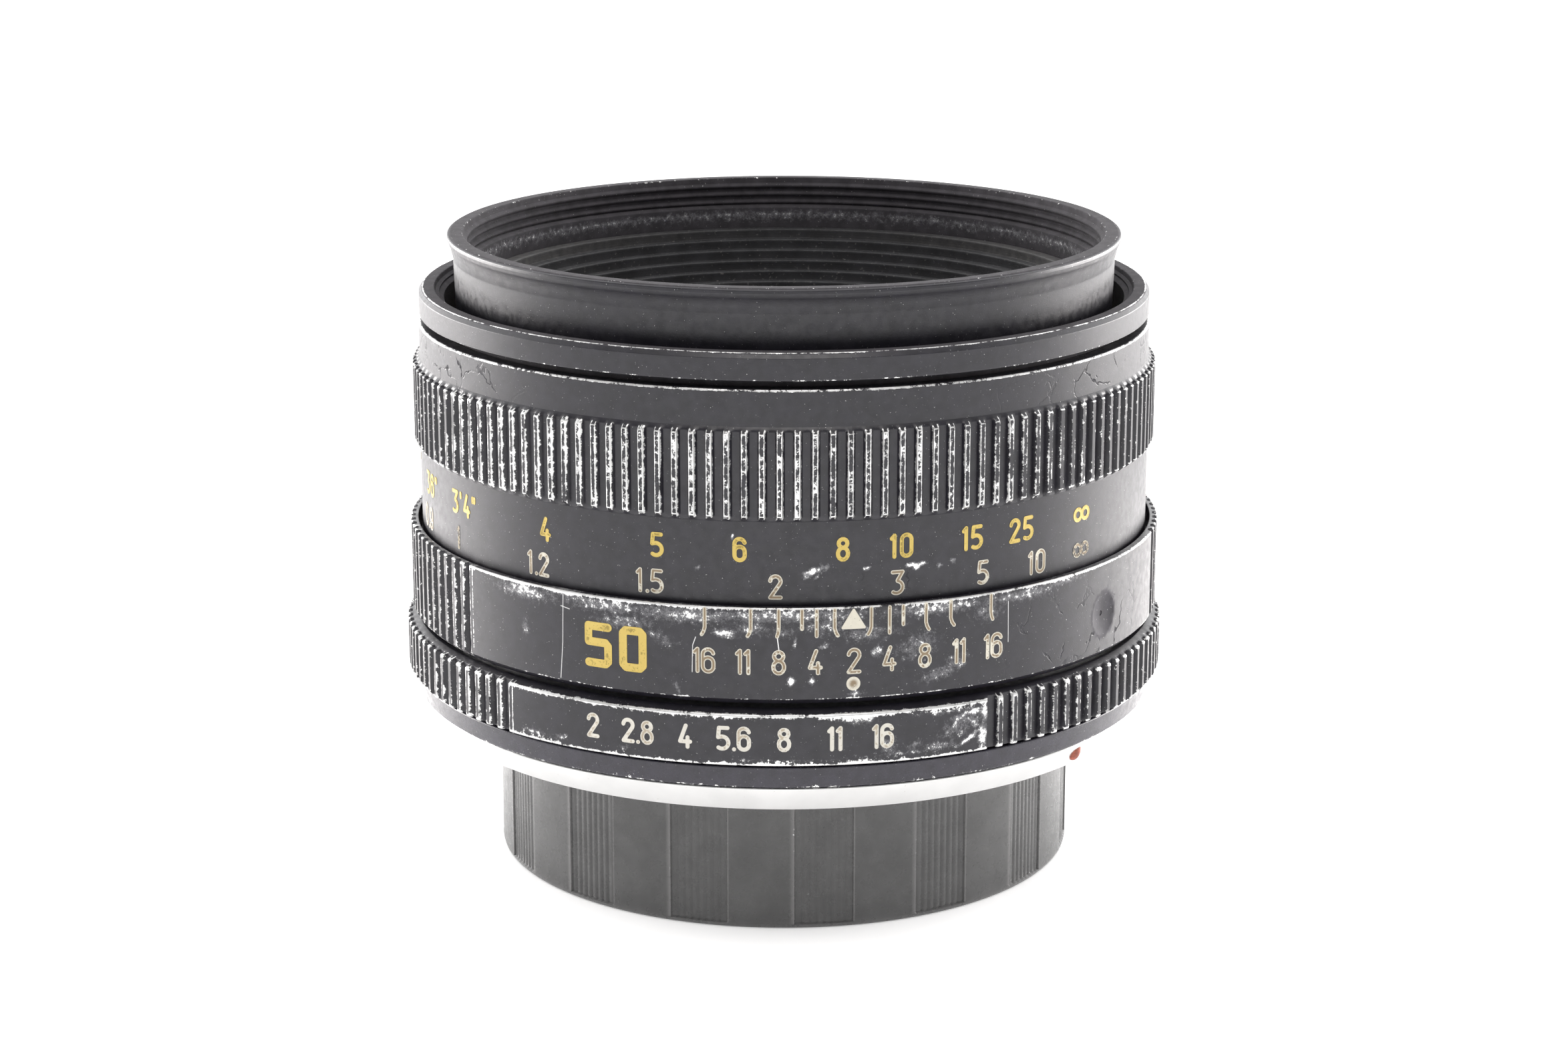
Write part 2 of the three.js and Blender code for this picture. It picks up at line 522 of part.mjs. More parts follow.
const pivotAngles = Array.from({ length: BLADE.count }, (_, i) =>
  BLADE.firstPivot + (360 / BLADE.count) * i);
const pinTop = DRIVE_RING.low - SEAT_GAP;
const pivotPins = pivotAngles.map((angle) =>
  rod(BLADE.pin, IRIS.floor - LAP, pinTop, ...polar(BLADE.pivotRadius, angle)));
const driveSweep = apertureSweep(FORK.angle, FORK.angle, FORK.driveSweep);
const irisHousing = cut(
  turned([
    [IRIS.hole, IRIS.low], [IRIS.radius, IRIS.low], [IRIS.radius, IRIS.top], [IRIS.inner, IRIS.top],
    [IRIS.inner, IRIS.floor], [IRIS.hole, IRIS.floor],
  ]),
  sector(IRIS.inner - OVER, IRIS.radius + OVER, DRIVE_RING.low - LAP, IRIS.top + OVER, ...driveSweep),
);
place('iris_housing', joined(irisHousing, ...pivotPins), MATT_BLACK);

// A blade is drawn wide open with its pivot on +X, then closed by the angle it has at rest.
const bladeTurnAtRest = BLADE.turnPerRing * APERTURE_TRAVEL.open;
const studX = BLADE.pivotRadius + STUD.along;
const studY = STUD.across;

function irisBlade(low) {
  const high = low + BLADE.thick;
  const crescent = sector(BLADE.inner, BLADE.outer, low, high, BLADE.start, BLADE.end);
  const boss = rod(BLADE.boss, low, high, BLADE.pivotRadius, 0);
  const tail = rod(STUD.tail, low, high, studX, studY);
  const link = block(studX - STUD.link / 2, studX + STUD.link / 2, -2 * STUD.across, low, high, 0);
  const stud = rod(STUD.radius, high - STUD.root, DRIVE_RING.high - STUD.root, studX, studY);
  const bore = rod(BLADE.pin + BLADE.pinGap, low - OVER, high + OVER, BLADE.pivotRadius, 0);
  return cut(joined(crescent, boss, tail, link, stud), bore);
}

pivotAngles.forEach((angle, i) => {
  const blade = irisBlade(BLADE.low + BLADE.pitch * i)
    .translate([-BLADE.pivotRadius, 0, 0])
    .rotate([0, 0, bladeTurnAtRest])
    .translate([BLADE.pivotRadius, 0, 0]);
  place(`iris_blade_${i + 1}`, turnedBy(blade, angle), STEEL);
});

// Where a blade's stud stands, in the drive ring's own frame, when the aperture ring is at `ring`.
function studInDriveRing(ring) {
  const bladeTurn = radians(BLADE.turnPerRing * (APERTURE_TRAVEL.open - ring));
  const pivot = new THREE.Vector2(BLADE.pivotRadius, 0);
  return new THREE.Vector2(studX, studY).rotateAround(pivot, bladeTurn)
    .rotateAround(new THREE.Vector2(0, 0), -radians(ring));
}

function driveSlot() {
  const from = APERTURE_TRAVEL.closed - DRIVE_SLOT.spare;
  const to = APERTURE_TRAVEL.open + DRIVE_SLOT.spare;
  const left = [];
  const right = [];
  for (let i = 0; i <= DRIVE_SLOT.steps; i += 1) {
    const ring = from + ((to - from) * i) / DRIVE_SLOT.steps;
    const here = studInDriveRing(ring);
    const ahead = studInDriveRing(ring + DRIVE_SLOT.ahead);
    const across = ahead.sub(here).normalize().rotateAround(new THREE.Vector2(0, 0), Math.PI / 2);
    left.push(here.clone().addScaledVector(across, STUD.slot));
    right.unshift(here.clone().addScaledVector(across, -STUD.slot));
  }
  return extruded(new THREE.Shape([...left, ...right]), DRIVE_RING.low - OVER, DRIVE_RING.high + OVER);
}

const driveRing = cut(
  joined(
    turned([
      [DRIVE_RING.inner, DRIVE_RING.low], [DRIVE_RING.outer, DRIVE_RING.low],
      [DRIVE_RING.outer, DRIVE_RING.high], [DRIVE_RING.inner, DRIVE_RING.high],
    ]),
    block(DRIVE_RING.outer - LAP, DRIVE_RING.armOuter, DRIVE_RING.armWidth,
      DRIVE_RING.low, DRIVE_RING.high, FORK.angle),
  ),
  ...pivotAngles.map((angle) => turnedBy(driveSlot(), angle)),
);
place('iris_drive_ring', driveRing, BRASS);

// ---- aperture ring, the fork that drives the iris, and the metering cam ----

const detents = Array.from({ length: DETENT.count }, (_, i) => {
  const step = (APERTURE_TRAVEL.open - APERTURE_TRAVEL.closed) / (DETENT.count - 1);
  const angle = DETENT.angle - APERTURE_TRAVEL.closed - step * i;
  const z = APERTURE_RING.high + DETENT.radius - DETENT.depth;
  return ball(DETENT.radius, ...polar(DETENT.ring, angle), z);
});
const apertureRing = turned([
  [APERTURE_RING.inner, APERTURE_RING.low], [APERTURE_RING.radius - APERTURE_RING.bevel, APERTURE_RING.low],
  [APERTURE_RING.radius, APERTURE_RING.low + APERTURE_RING.bevel],
  [APERTURE_RING.radius, APERTURE_RING.high - APERTURE_RING.bevel],
  [APERTURE_RING.radius - APERTURE_RING.bevel, APERTURE_RING.high], [APERTURE_RING.inner, APERTURE_RING.high],
]);
place('aperture_ring', cut(apertureRing, ...detents), BLACK_ANODISED);

const prongs = [-1, 1].map((side) => {
  const geometry = new THREE.BoxGeometry(FORK.prongOuter - FORK.prongInner, FORK.prong, FORK.top - FORK.low);
  geometry.translate(
    (FORK.prongOuter + FORK.prongInner) / 2,
    (side * (FORK.slot + FORK.prong)) / 2,
    (FORK.top + FORK.low) / 2,
  );
  return solidFrom(geometry.rotateZ(radians(FORK.angle)));
});
const forkWidth = FORK.slot + 2 * FORK.prong;
const fork = joined(
  block(FORK.prongRoot, FORK.armOuter, FORK.armWidth, FORK.low, FORK.armTop, FORK.angle),
  block(FORK.prongRoot, FORK.backOuter, forkWidth, FORK.low, FORK.top, FORK.angle),
  ...prongs,
);
place('aperture_fork', fork, STEEL);

const camBody = sector(CAM.inner, CAM.outer, CAM.low, CAM.high, CAM.from, CAM.to);
const rampCutter = solidFrom(new THREE.BoxGeometry(...CAM.cutter).translate(0, 0, -CAM.cutter[2] / 2))
  .rotate([0, CAM.rampTilt, 0])
  .translate([...polar(CAM.outer, CAM.from), CAM.ramp]);
place('metering_cam', cut(camBody, rampCutter), STEEL);

export default lens;
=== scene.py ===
"""A 50 mm f/2 prime lens standing on its rear cap: looks, fine shape and studio."""

import json
import math

import bmesh
import bpy
import numpy as np
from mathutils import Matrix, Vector


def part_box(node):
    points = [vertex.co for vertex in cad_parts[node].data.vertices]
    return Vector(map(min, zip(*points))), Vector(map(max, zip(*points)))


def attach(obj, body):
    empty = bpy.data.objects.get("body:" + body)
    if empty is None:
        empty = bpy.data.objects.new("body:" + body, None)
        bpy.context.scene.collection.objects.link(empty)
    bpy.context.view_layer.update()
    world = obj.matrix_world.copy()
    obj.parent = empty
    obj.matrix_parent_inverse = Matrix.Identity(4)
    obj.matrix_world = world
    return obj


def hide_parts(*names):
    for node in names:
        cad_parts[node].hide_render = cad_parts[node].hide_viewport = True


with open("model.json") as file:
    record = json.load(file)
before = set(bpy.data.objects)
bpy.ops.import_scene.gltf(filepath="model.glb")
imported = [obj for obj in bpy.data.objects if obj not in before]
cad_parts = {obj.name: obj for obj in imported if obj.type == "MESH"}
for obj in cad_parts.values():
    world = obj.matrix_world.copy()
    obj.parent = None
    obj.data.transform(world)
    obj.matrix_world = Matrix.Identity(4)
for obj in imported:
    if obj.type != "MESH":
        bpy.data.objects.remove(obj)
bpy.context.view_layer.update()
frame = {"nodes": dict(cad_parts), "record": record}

MM = 0.001
SMOOTH_STEP = 1.0  # degrees between columns on plain surfaces
FINE_STEP = 0.6  # degrees between columns on rings whose edges chip
PAINTED_STEP = 0.4  # degrees between columns where wear patches are painted
SHARP = 38  # degrees between faces above which an edge shows


# ------------------------ outlines and turned pieces


def wrapped(angle):
    """The same angle in degrees, between -180 and 180."""
    return (angle + 180) % 360 - 180


def in_sectors(angle, middles, width):
    """Which angles lie in one of the sectors of that width about those middles."""
    return np.any([np.abs(wrapped(angle - middle)) < width / 2 for middle in middles], axis=0)


def span(node):
    """Largest radius and the lowest and highest height of a turned CAD node, in millimetres."""
    low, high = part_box(node)
    return high.x / MM, low.z / MM, high.z / MM


def rounded(corners, closed=True, steps=3, fade=1.0):
    """Rows (radius, height, wear) of a section whose corners, with a bevel and wear given, are rounded.

    The wear of a corner fades out over `fade` times three quarters of a millimetre to either side."""
    rows = []
    fades = [(0.75 * fade, 0.08), (0.4 * fade, 0.2), (0.12 * fade, 0.6)]  # distance, share of the wear left
    count = len(corners)
    for i, (radius, height, *finish) in enumerate(corners):
        bevel, wear = finish or (0, 0)
        here = np.array([radius, height], float)
        before = np.array(corners[i - 1][:2], float)
        after = np.array(corners[(i + 1) % count][:2], float)
        if not bevel or (not closed and i in (0, count - 1)):
            rows.append((radius, height, wear))
            continue
        back, onward = before - here, after - here
        reach = [np.linalg.norm(back), np.linalg.norm(onward)]
        back, onward = back / reach[0], onward / reach[1]
        half = math.acos(np.clip(back @ onward, -1, 1)) / 2
        run = min(bevel / math.tan(half), 0.45 * min(reach))
        radius_of_arc = run * math.tan(half)
        centre = here + (back + onward) / np.linalg.norm(back + onward) * radius_of_arc / math.sin(half)
        start, end = here + back * run - centre, here + onward * run - centre
        turn = math.acos(np.clip(start @ end / radius_of_arc**2, -1, 1))
        for off, share in fades:
            if wear and 0.5 * reach[0] > run + off:
                rows.append((*(here + back * (run + off)), wear * share))
        for k in range(steps + 1):
            t = k / steps
            arm = (math.sin((1 - t) * turn) * start + math.sin(t * turn) * end) / math.sin(turn)
            rows.append((*(centre + arm), wear))
        for off, share in reversed(fades):
            if wear and 0.5 * reach[1] > run + off:
                rows.append((*(here + onward * (run + off)), wear * share))
    return rows


def divided(rows, step, closed=True, inner=0.0, top=math.inf):
    """The same rows with more put in, so that none is further than `step` from the next.

    Above the height `top` the step is three times that, and below the radius `inner` nothing is put in."""
    result = []
    pairs = zip(rows, rows[1:] + rows[:1] if closed else rows[1:])
    for here, after in pairs:
        length = math.dist(here[:2], after[:2])
        reach = step if min(here[1], after[1]) < top else 3 * step
        pieces = max(1, math.ceil(length / reach)) if max(here[0], after[0]) > inner else 1
        for k in range(pieces):
            t = k / pieces
            result.append(tuple(a + (b - a) * t for a, b in zip(here, after)))
    if not closed:
        result.append(rows[-1])
    return result


def plain_columns(start=-180.0, end=180.0, step=SMOOTH_STEP):
    """Columns (angle, sunk, worn) of a smooth stretch, from start up to but not including end."""
    count = max(1, round((end - start) / step))
    return [(start + (end - start) * i / count, 0, 0.0) for i in range(count)]


def rib_columns(start, end, count, top, foot, crown=0.3):
    """Columns of `count` grooves and ribs from start to end, beginning and ending with a groove.

    The edges of a rib are worn most, and `crown` is how far the middle of its top is worn."""
    pitch = (end - start) / count
    columns = []
    for i in range(count):
        left = start + pitch * i
        wide = pitch * (1 - foot)
        begin = left + (foot - top) / 4 * pitch
        columns += [(begin + (left + wide - begin) * k / 3, 1, 0.0 if 0 < k < 3 else 0.1) for k in range(4)]
        middle = left + wide + foot * pitch / 2
        for offset, worn in ((-0.5, 1.0), (-0.3, crown), (0.3, crown), (0.5, 1.0)):
            columns.append((middle + offset * top * pitch, 0, worn))
    return columns


def lathe(name, rows, columns=None, carve=None, rub=None, matt=None, crazed=None, sharp=SHARP):
    """A turned mesh. Each row (radius, height, wear) goes round at every column (angle, sunk, worn).

    `carve` returns the radius, height and wear of all points; `rub`, `matt` and `crazed` return how far they
    are rubbed, how matt they are (matt places are also painted lighter, as painted light) and how cracked
    their finish is."""
    columns = columns or plain_columns()
    angle, sunk, worn = (np.array(values, float)[:, None] for values in zip(*columns))
    radius, height, wear = (np.array(values, float)[None, :] for values in zip(*rows))
    shape = (len(columns), len(rows))
    radius, height, wear = (np.broadcast_to(values, shape).copy() for values in (radius, height, wear))
    if carve:
        radius, height, wear = carve(angle, sunk, worn, radius, height, wear)
    turn = np.radians(angle)
    points = np.stack([radius * np.sin(turn), -radius * np.cos(turn), height], axis=-1) * MM
    count = shape[1]
    axis = rows[0][0] == 0 and rows[-1][0] == 0
    first, second = np.arange(shape[0]), np.roll(np.arange(shape[0]), -1)
    faces = []
    for j in range(count - 1 if axis else count):
        k = (j + 1) % count
        around = ((first, j), (second, j), (second, k), (first, k))
        faces.append(np.stack([column * count + row for column, row in around], 1))
    faces = np.concatenate(faces)
    mesh = bpy.data.meshes.new(name)
    mesh.from_pydata(points.reshape(-1, 3).tolist(), [], faces.tolist())
    put_attribute(mesh, "edge", wear.reshape(-1))
    for state, painter in (("rub", rub), ("matt", matt), ("crazed", crazed)):
        if painter:
            put_attribute(mesh, state, painter(angle + 0 * radius, height, radius).reshape(-1))
    close_up(mesh, merge=axis)
    return shown(name, mesh, sharp)


def put_attribute(mesh, name, values):
    attribute = mesh.attributes.new(name, "FLOAT", "POINT")
    attribute.data.foreach_set("value", np.asarray(values, np.float32))


def smoothed(mesh, sharp):
    mesh.shade_smooth()
    mesh.set_sharp_from_angle(angle=math.radians(sharp))


def shown(name, mesh, sharp):
    """A new object of a mesh, smooth but for edges sharper than that angle in degrees."""
    smoothed(mesh, sharp)
    piece = bpy.data.objects.new(name, mesh)
    bpy.context.scene.collection.objects.link(piece)
    return piece


def close_up(mesh, merge):
    """Turns all faces outwards, after merging the points on the axis if asked."""
    work = bmesh.new()
    work.from_mesh(mesh)
    if merge:
        bmesh.ops.remove_doubles(work, verts=work.verts, dist=1e-9)
    bmesh.ops.recalc_face_normals(work, faces=work.faces)
    work.to_mesh(mesh)
    work.free()


def rod(radius, start, end):
    """A cylinder to cut with, its radius in millimetres and its ends in metres."""
    axis = Vector(end) - Vector(start)
    bpy.ops.mesh.primitive_cylinder_add(vertices=64, radius=radius * MM, depth=axis.length,
                                        location=(Vector(start) + Vector(end)) / 2,
                                        rotation=axis.to_track_quat("Z", "Y").to_euler())
    return bpy.context.object


def cut(piece, cutters):
    """Cuts the cutters out of a piece and removes them."""
    for cutter in cutters:
        hole = piece.modifiers.new("cut", "BOOLEAN")
        hole.operation, hole.solver, hole.object = "DIFFERENCE", "EXACT", cutter
    bpy.context.view_layer.update()
    shaped = piece.evaluated_get(bpy.context.evaluated_depsgraph_get())
    mesh = bpy.data.meshes.new_from_object(shaped)
    piece.modifiers.clear()
    piece.data = mesh
    for cutter in cutters:
        bpy.data.objects.remove(cutter)
    smoothed(mesh, SHARP)


def place(piece, body, slot, *nodes, material=None):
    """Gives a piece the material of a slot, or the material given, lets it ride on a body and hides the CAD
    nodes it stands for.
    """
    piece.data.materials.clear()
    piece.data.materials.append(material or MATERIALS[slot])
    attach(piece, body)
    if nodes:
        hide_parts(*nodes)


# ------------------------ painted figures

WIDE = 0.47  # width of a figure 1 high
HALF = WIDE / 2


def arc(x, y, radius, start, end, stretch=1.0, steps=14):
    angles = np.radians(np.linspace(start, end, steps))
    return [(x + radius * math.cos(a), y + radius * stretch * math.sin(a)) for a in angles]


# centre lines of the engraved figures
FIGURES = {
    "0": [arc(HALF, 1 - HALF, HALF, 0, 180) + arc(HALF, HALF, HALF, 180, 360) + [(WIDE, 1 - HALF)]],
    "1": [[(0, 0.86), (0.13, 1), (0.13, 0)]],
    "2": [arc(HALF, 1 - HALF, HALF, 175, -30) + [(0, 0), (WIDE, 0)]],
    "3": [[(0, 1), (WIDE, 1), (HALF, 0.6)] + arc(0.19, 0.29, 0.29, 80, -125)],
    "4": [[(0.27, 1), (0, 0.25), (WIDE, 0.25)], [(0.35, 0.45), (0.35, 0)]],
    "5": [[(0.43, 1), (0.04, 1), (0.0, 0.55)] + arc(0.18, 0.3, 0.29, 105, -125)],
    "6": [arc(HALF, 1 - HALF, HALF, 15, 180) + arc(HALF, HALF, HALF, 180, 360)
          + arc(HALF, 0.4, HALF, 0, 180)],
    "7": [[(0, 1), (WIDE, 1), (0.15, 0)]],
    "8": [arc(HALF, 0.77, 0.2, -90, 270), arc(HALF, 0.285, HALF, 90, 450, 1.2)],
    "9": [arc(HALF, HALF, HALF, 195, 360) + arc(HALF, 1 - HALF, HALF, 0, 180)
          + arc(HALF, 0.6, HALF, 180, 360)],
    "'": [[(0, 1), (0, 0.82)]],
    '"': [[(0, 1), (0, 0.82)], [(0.16, 1), (0.16, 0.82)]],
    ".": [[(0, 0), (0, 0.001)]],
    "oo": [arc(0.28, 0.5, 0.27, 0, 360), arc(0.87, 0.5, 0.27, -180, 180)],
}


def written(text, height, half, gap):
    """Strokes (points, half width) of some figures, centred across the origin, in millimetres."""
    tall = height - 2 * half
    strokes = []
    left = 0.0
    for figure in text:
        lines = FIGURES[figure]
        right = max(x for line in lines for x, _ in line)
        for line in lines:
            strokes.append(([(left + x * tall, half + y * tall) for x, y in line], half))
        left += right * tall + 2 * half + gap * (0.35 if figure == "." else 1)
    width = left - 2 * half - gap
    return [([(x - width / 2, y) for x, y in line], wide) for line, wide in strokes]


def depth_inside(points, strokes):
    """How far inside the strokes each point is, in millimetres; negative outside them.

    A stroke with no half width is the outline of a filled shape."""
    best = np.full(len(points), -np.inf)
    for line, half in strokes:
        line = np.array(line, float)
        if half is None:
            inside = np.full(len(points), np.inf)
            for a, b in zip(line, np.roll(line, -1, axis=0)):
                across = np.array([a[1] - b[1], b[0] - a[0]]) / np.linalg.norm(b - a)
                inside = np.minimum(inside, (points - a) @ across)
            best = np.maximum(best, inside)
            continue
        for a, b in zip(line[:-1], line[1:]):
            along = b - a
            t = np.clip((points - a) @ along / max(along @ along, 1e-12), 0, 1)
            best = np.maximum(best, half - np.linalg.norm(points - a - t[:, None] * along, axis=1))
    return best


def film(name, marks, radius, cell=0.04, rim=0.03, middle=0.012, root=0.08):
    """Paint in engraved marks round a ring: marks are (angle, height, strokes) in degrees and millimetres.

    The strokes are cut from a grid of that cell. The paint stands `rim` proud along its edges and `middle`
    in the middle, and its edge goes `root` deep into the ring."""
    points, faces, core = [], [], []

    def add(angle, u, z, r, value):
        turn = math.radians(angle) + u / radius
        points.append((r * math.sin(turn) * MM, -r * math.cos(turn) * MM, z * MM))
        core.append(value)
        return len(points) - 1

    for angle, base, strokes in marks:
        ends = np.concatenate([np.array(line, float) for line, _ in strokes])
        margin = max(half or 0.0 for _, half in strokes) + 2 * cell
        full = max([half or 2.0 for _, half in strokes])
        low, high = ends.min(0) - margin, ends.max(0) + margin
        us, vs = (np.arange(low[i], high[i] + cell, cell) for i in (0, 1))
        grid = np.stack(np.meshgrid(us, vs, indexing="ij"), -1)
        depth = depth_inside(grid.reshape(-1, 2), strokes).reshape(grid.shape[:2])
        inner = {}

        def corner(i, j):
            key = (i, j)
            if key not in inner:
                value = min(1.0, depth[i, j] / full)
                lift = rim + (middle - rim) * min(1.0, 1.6 * value)
                inner[key] = add(angle, us[i], base + vs[j], radius + lift, value)
            return inner[key]

        def crossing(i, j, k, m):
            key = (i, j, k, m) if (i, j) < (k, m) else (k, m, i, j)
            if key not in inner:
                i, j, k, m = key
                t = min(0.88, max(0.12, depth[i, j] / (depth[i, j] - depth[k, m])))
                u, v = us[i] + (us[k] - us[i]) * t, vs[j] + (vs[m] - vs[j]) * t
                top = add(angle, u, base + v, radius + rim, 0.0)
                foot = add(angle, u, base + v, radius - root, 0.0)
                inner[key] = (top, foot)
            return inner[key]

        painted = depth > 0
        touched = painted[:-1, :-1] | painted[1:, :-1] | painted[:-1, 1:] | painted[1:, 1:]
        for i, j in np.argwhere(touched):
            ring = [(i, j), (i + 1, j), (i + 1, j + 1), (i, j + 1)]
            outline, rims = [], []
            for (a, b), (c, d) in zip(ring, ring[1:] + ring[:1]):
                if painted[a, b]:
                    outline.append(corner(a, b))
                if painted[a, b] != painted[c, d]:
                    pair = crossing(a, b, c, d)
                    outline.append(pair[0])
                    rims.append((pair, painted[a, b]))
            faces.append(outline)
            for k, (pair, leaving) in enumerate(rims):
                if leaving:
                    after = rims[(k + 1) % len(rims)][0]
                    faces.append([after[0], pair[0], pair[1], after[1]])
    mesh = bpy.data.meshes.new(name)
    mesh.from_pydata(points, [], [[int(v) for v in face] for face in faces])
    put_attribute(mesh, "core", core)
    return shown(name, mesh, sharp=40)


# ------------------------ materials


class Nodes:
    """A node tree and short ways to add to it."""

    def __init__(self, owner):
        owner.use_nodes = True
        self.tree = owner.node_tree

    def feed(self, socket, value):
        if isinstance(value, bpy.types.NodeSocket):
            self.tree.links.new(value, socket)
        elif socket.type == "RGBA" and not hasattr(value, "__len__"):
            socket.default_value = (value, value, value, 1)
        elif socket.type == "RGBA":
            socket.default_value = (*value, 1)
        else:
            socket.default_value = value

    def add(self, kind, inputs=None, **settings):
        node = self.tree.nodes.new(kind)
        for name, value in settings.items():
            setattr(node, name, value)
        for key, value in (inputs or {}).items():
            self.feed(node.inputs[key], value)
        return node

    def math(self, operation, *values):
        return self.add("ShaderNodeMath", dict(enumerate(values)), operation=operation).outputs[0]

    def band(self, value, low, high, start=0.0, end=1.0):
        """Eases from start to end as the value goes from low to high."""
        inputs = {"Value": value, "From Min": low, "From Max": high, "To Min": start, "To Max": end}
        return self.add("ShaderNodeMapRange", inputs, interpolation_type="SMOOTHSTEP").outputs[0]


class Look(Nodes):
    """A node material: one Principled shader and the procedural detail that feeds it."""

    def __init__(self, name, **settings):
        self.material = bpy.data.materials.new(name)
        super().__init__(self.material)
        self.shader = self.tree.nodes["Principled BSDF"]
        self.place = self.add("ShaderNodeTexCoord").outputs["Object"]
        self.set(**settings)

    def set(self, **settings):
        for name, value in settings.items():
            self.feed(self.shader.inputs[name.replace("_", " ")], value)

    def plus(self, one, other):
        return self.math("ADD", one, other)

    def minus(self, one, other):
        return self.math("SUBTRACT", one, other)

    def times(self, one, other):
        return self.math("MULTIPLY", one, other)

    def noise(self, scale, detail=3.0, stretch=None, distortion=0.0, rough=0.5):
        where = self.place
        if stretch:
            where = self.add("ShaderNodeVectorMath", {0: where, 1: stretch}, operation="MULTIPLY").outputs[0]
        inputs = {"Vector": where, "Scale": scale, "Detail": detail}
        inputs |= {"Distortion": distortion, "Roughness": rough}
        return self.add("ShaderNodeTexNoise", inputs).outputs["Fac"]

    def cloud(self, scale, detail, start=0.0, end=1.0):
        """Soft clouds that go from start to end."""
        return self.band(self.noise(scale, detail), 0.3, 0.7, start, end)

    def turned_lines(self, scale):
        """Fine lines round the axis."""
        height = self.add("ShaderNodeSeparateXYZ", {0: self.place}).outputs["Z"]
        inputs = {"W": height, "Scale": scale, "Detail": 2.0}
        return self.add("ShaderNodeTexNoise", inputs, noise_dimensions="1D").outputs["Fac"]

    def cracks(self, scale, width):
        """Hair lines round wandering cells: 1 on a line, 0 beside it."""
        wander = self.add("ShaderNodeTexNoise", {"Vector": self.place, "Scale": 700.0, "Detail": 3.0})
        inputs = {0: wander.outputs["Color"], 1: (0.0022, 0.0022, 0.0022), 2: self.place}
        moved = self.add("ShaderNodeVectorMath", inputs, operation="MULTIPLY_ADD").outputs[0]
        inputs = {"Vector": moved, "Scale": scale}
        cells = self.add("ShaderNodeTexVoronoi", inputs, feature="DISTANCE_TO_EDGE")
        return self.band(cells.outputs["Distance"], 0.4 * width, width, 1.0, 0.0)

    def attribute(self, name):
        return self.add("ShaderNodeAttribute", attribute_name=name).outputs["Fac"]

    def mix(self, mask, below, above):
        """The colour below, or where the mask is 1 the colour above."""
        return self.add("ShaderNodeMix", {0: mask, 6: below, 7: above}, data_type="RGBA").outputs[2]

    def blend(self, mask, below, above):
        """The number below, or where the mask is 1 the number above."""
        return self.add("ShaderNodeMix", {0: mask, 2: below, 3: above}, data_type="FLOAT").outputs[0]

    def bump(self, height, distance, strength=1.0):
        inputs = {"Height": height, "Distance": distance, "Strength": strength}
        self.set(Normal=self.add("ShaderNodeBump", inputs).outputs["Normal"])


def worn_black(name, base=0.013, roughness=0.36):
    """Black anodised aluminium: bare on its worn edges and scuffs, hazed where it has been rubbed, and both
    matt and painted lighter, as painted light, where the matt attribute is set.
    """
    look = Look(name, IOR=1.56)
    edge, rub, matt_and_lift = look.attribute("edge"), look.attribute("rub"), look.attribute("matt")
    coarse, medium, fine = look.noise(420, 2), look.noise(2300, 3, rough=0.6), look.noise(8500, 2)

    # where the metal is bare
    ragged = look.minus(look.plus(look.times(medium, 1.7), look.times(fine, 0.9)), 1.3)
    ragged = look.times(ragged, look.math("MULTIPLY_ADD", edge, -0.38, 1.0))
    on_edge = look.times(edge, look.math("MULTIPLY_ADD", coarse, 1.3, 0.35))
    bare = look.band(look.plus(look.plus(on_edge, rub), ragged), 0.64, 0.82)
    specks = look.band(fine, 0.735, 0.76)
    bare = look.math("MAXIMUM", bare, look.times(specks, 0.7))

    # colour
    shade = look.cloud(900, 4, base * 0.8, base * 1.25)
    # painted light: where the matt attribute is set the colour is made up to 3.6 times lighter, standing in
    # for light falling on inside walls, lips and the dimple; the roughness below also makes those places
    # matt
    shade = look.times(shade, look.math("MULTIPLY_ADD", matt_and_lift, 2.6, 1.0))
    blue = look.times(shade, look.math("MULTIPLY_ADD", matt_and_lift, -0.3, 1.35))
    dark = look.add("ShaderNodeCombineColor", {0: shade, 1: look.times(shade, 0.92), 2: blue})
    haze = look.band(look.plus(look.times(rub, 1.2), look.times(ragged, 0.7)), 0.2, 0.95)
    hazed = look.mix(look.times(haze, 0.6), dark.outputs[0], (0.42, 0.42, 0.44))
    aluminium = look.mix(look.band(medium, 0.35, 0.65), (0.80, 0.80, 0.79), (0.93, 0.93, 0.92))
    look.set(Base_Color=look.mix(bare, hazed, aluminium), Metallic=look.times(bare, 0.9))

    # gloss and relief
    crazed = look.times(look.cracks(260, 0.03), look.attribute("crazed"))
    crazed = look.times(crazed, look.band(coarse, 0.42, 0.52))
    gloss = look.cloud(1500, 3, roughness - 0.05, roughness + 0.06)
    gloss = look.blend(crazed, look.blend(matt_and_lift, gloss, 0.92), 1.0)
    look.set(Roughness=look.blend(bare, gloss, 0.38))
    relief = look.plus(look.times(look.turned_lines(16000), 0.35), look.times(fine, 0.8))
    relief = look.minus(look.minus(relief, look.times(bare, 1.3)), look.times(crazed, 9.0))
    look.bump(relief, 0.000006)
    return look.material


def matt_black(name):
    """Anti-reflection black of the light path, with a little dust."""
    look = Look(name)
    dust = look.band(look.noise(3800, 3), 0.63, 0.72)
    shade = look.cloud(500, 3, 0.0154, 0.0308)
    dark = look.add("ShaderNodeCombineColor", {0: shade, 1: shade, 2: look.times(shade, 1.12)})
    rubbed = look.times(look.attribute("rub"), look.noise(1600, 3))
    grey = look.times(look.math("MAXIMUM", dust, rubbed), 0.5)
    look.set(Base_Color=look.mix(grey, dark.outputs[0], (0.22, 0.21, 0.20)))
    look.set(Roughness=look.cloud(1200, 3, 0.53, 0.7))
    look.bump(look.plus(look.noise(6000, 3), look.turned_lines(9000)), 0.000005)
    return look.material


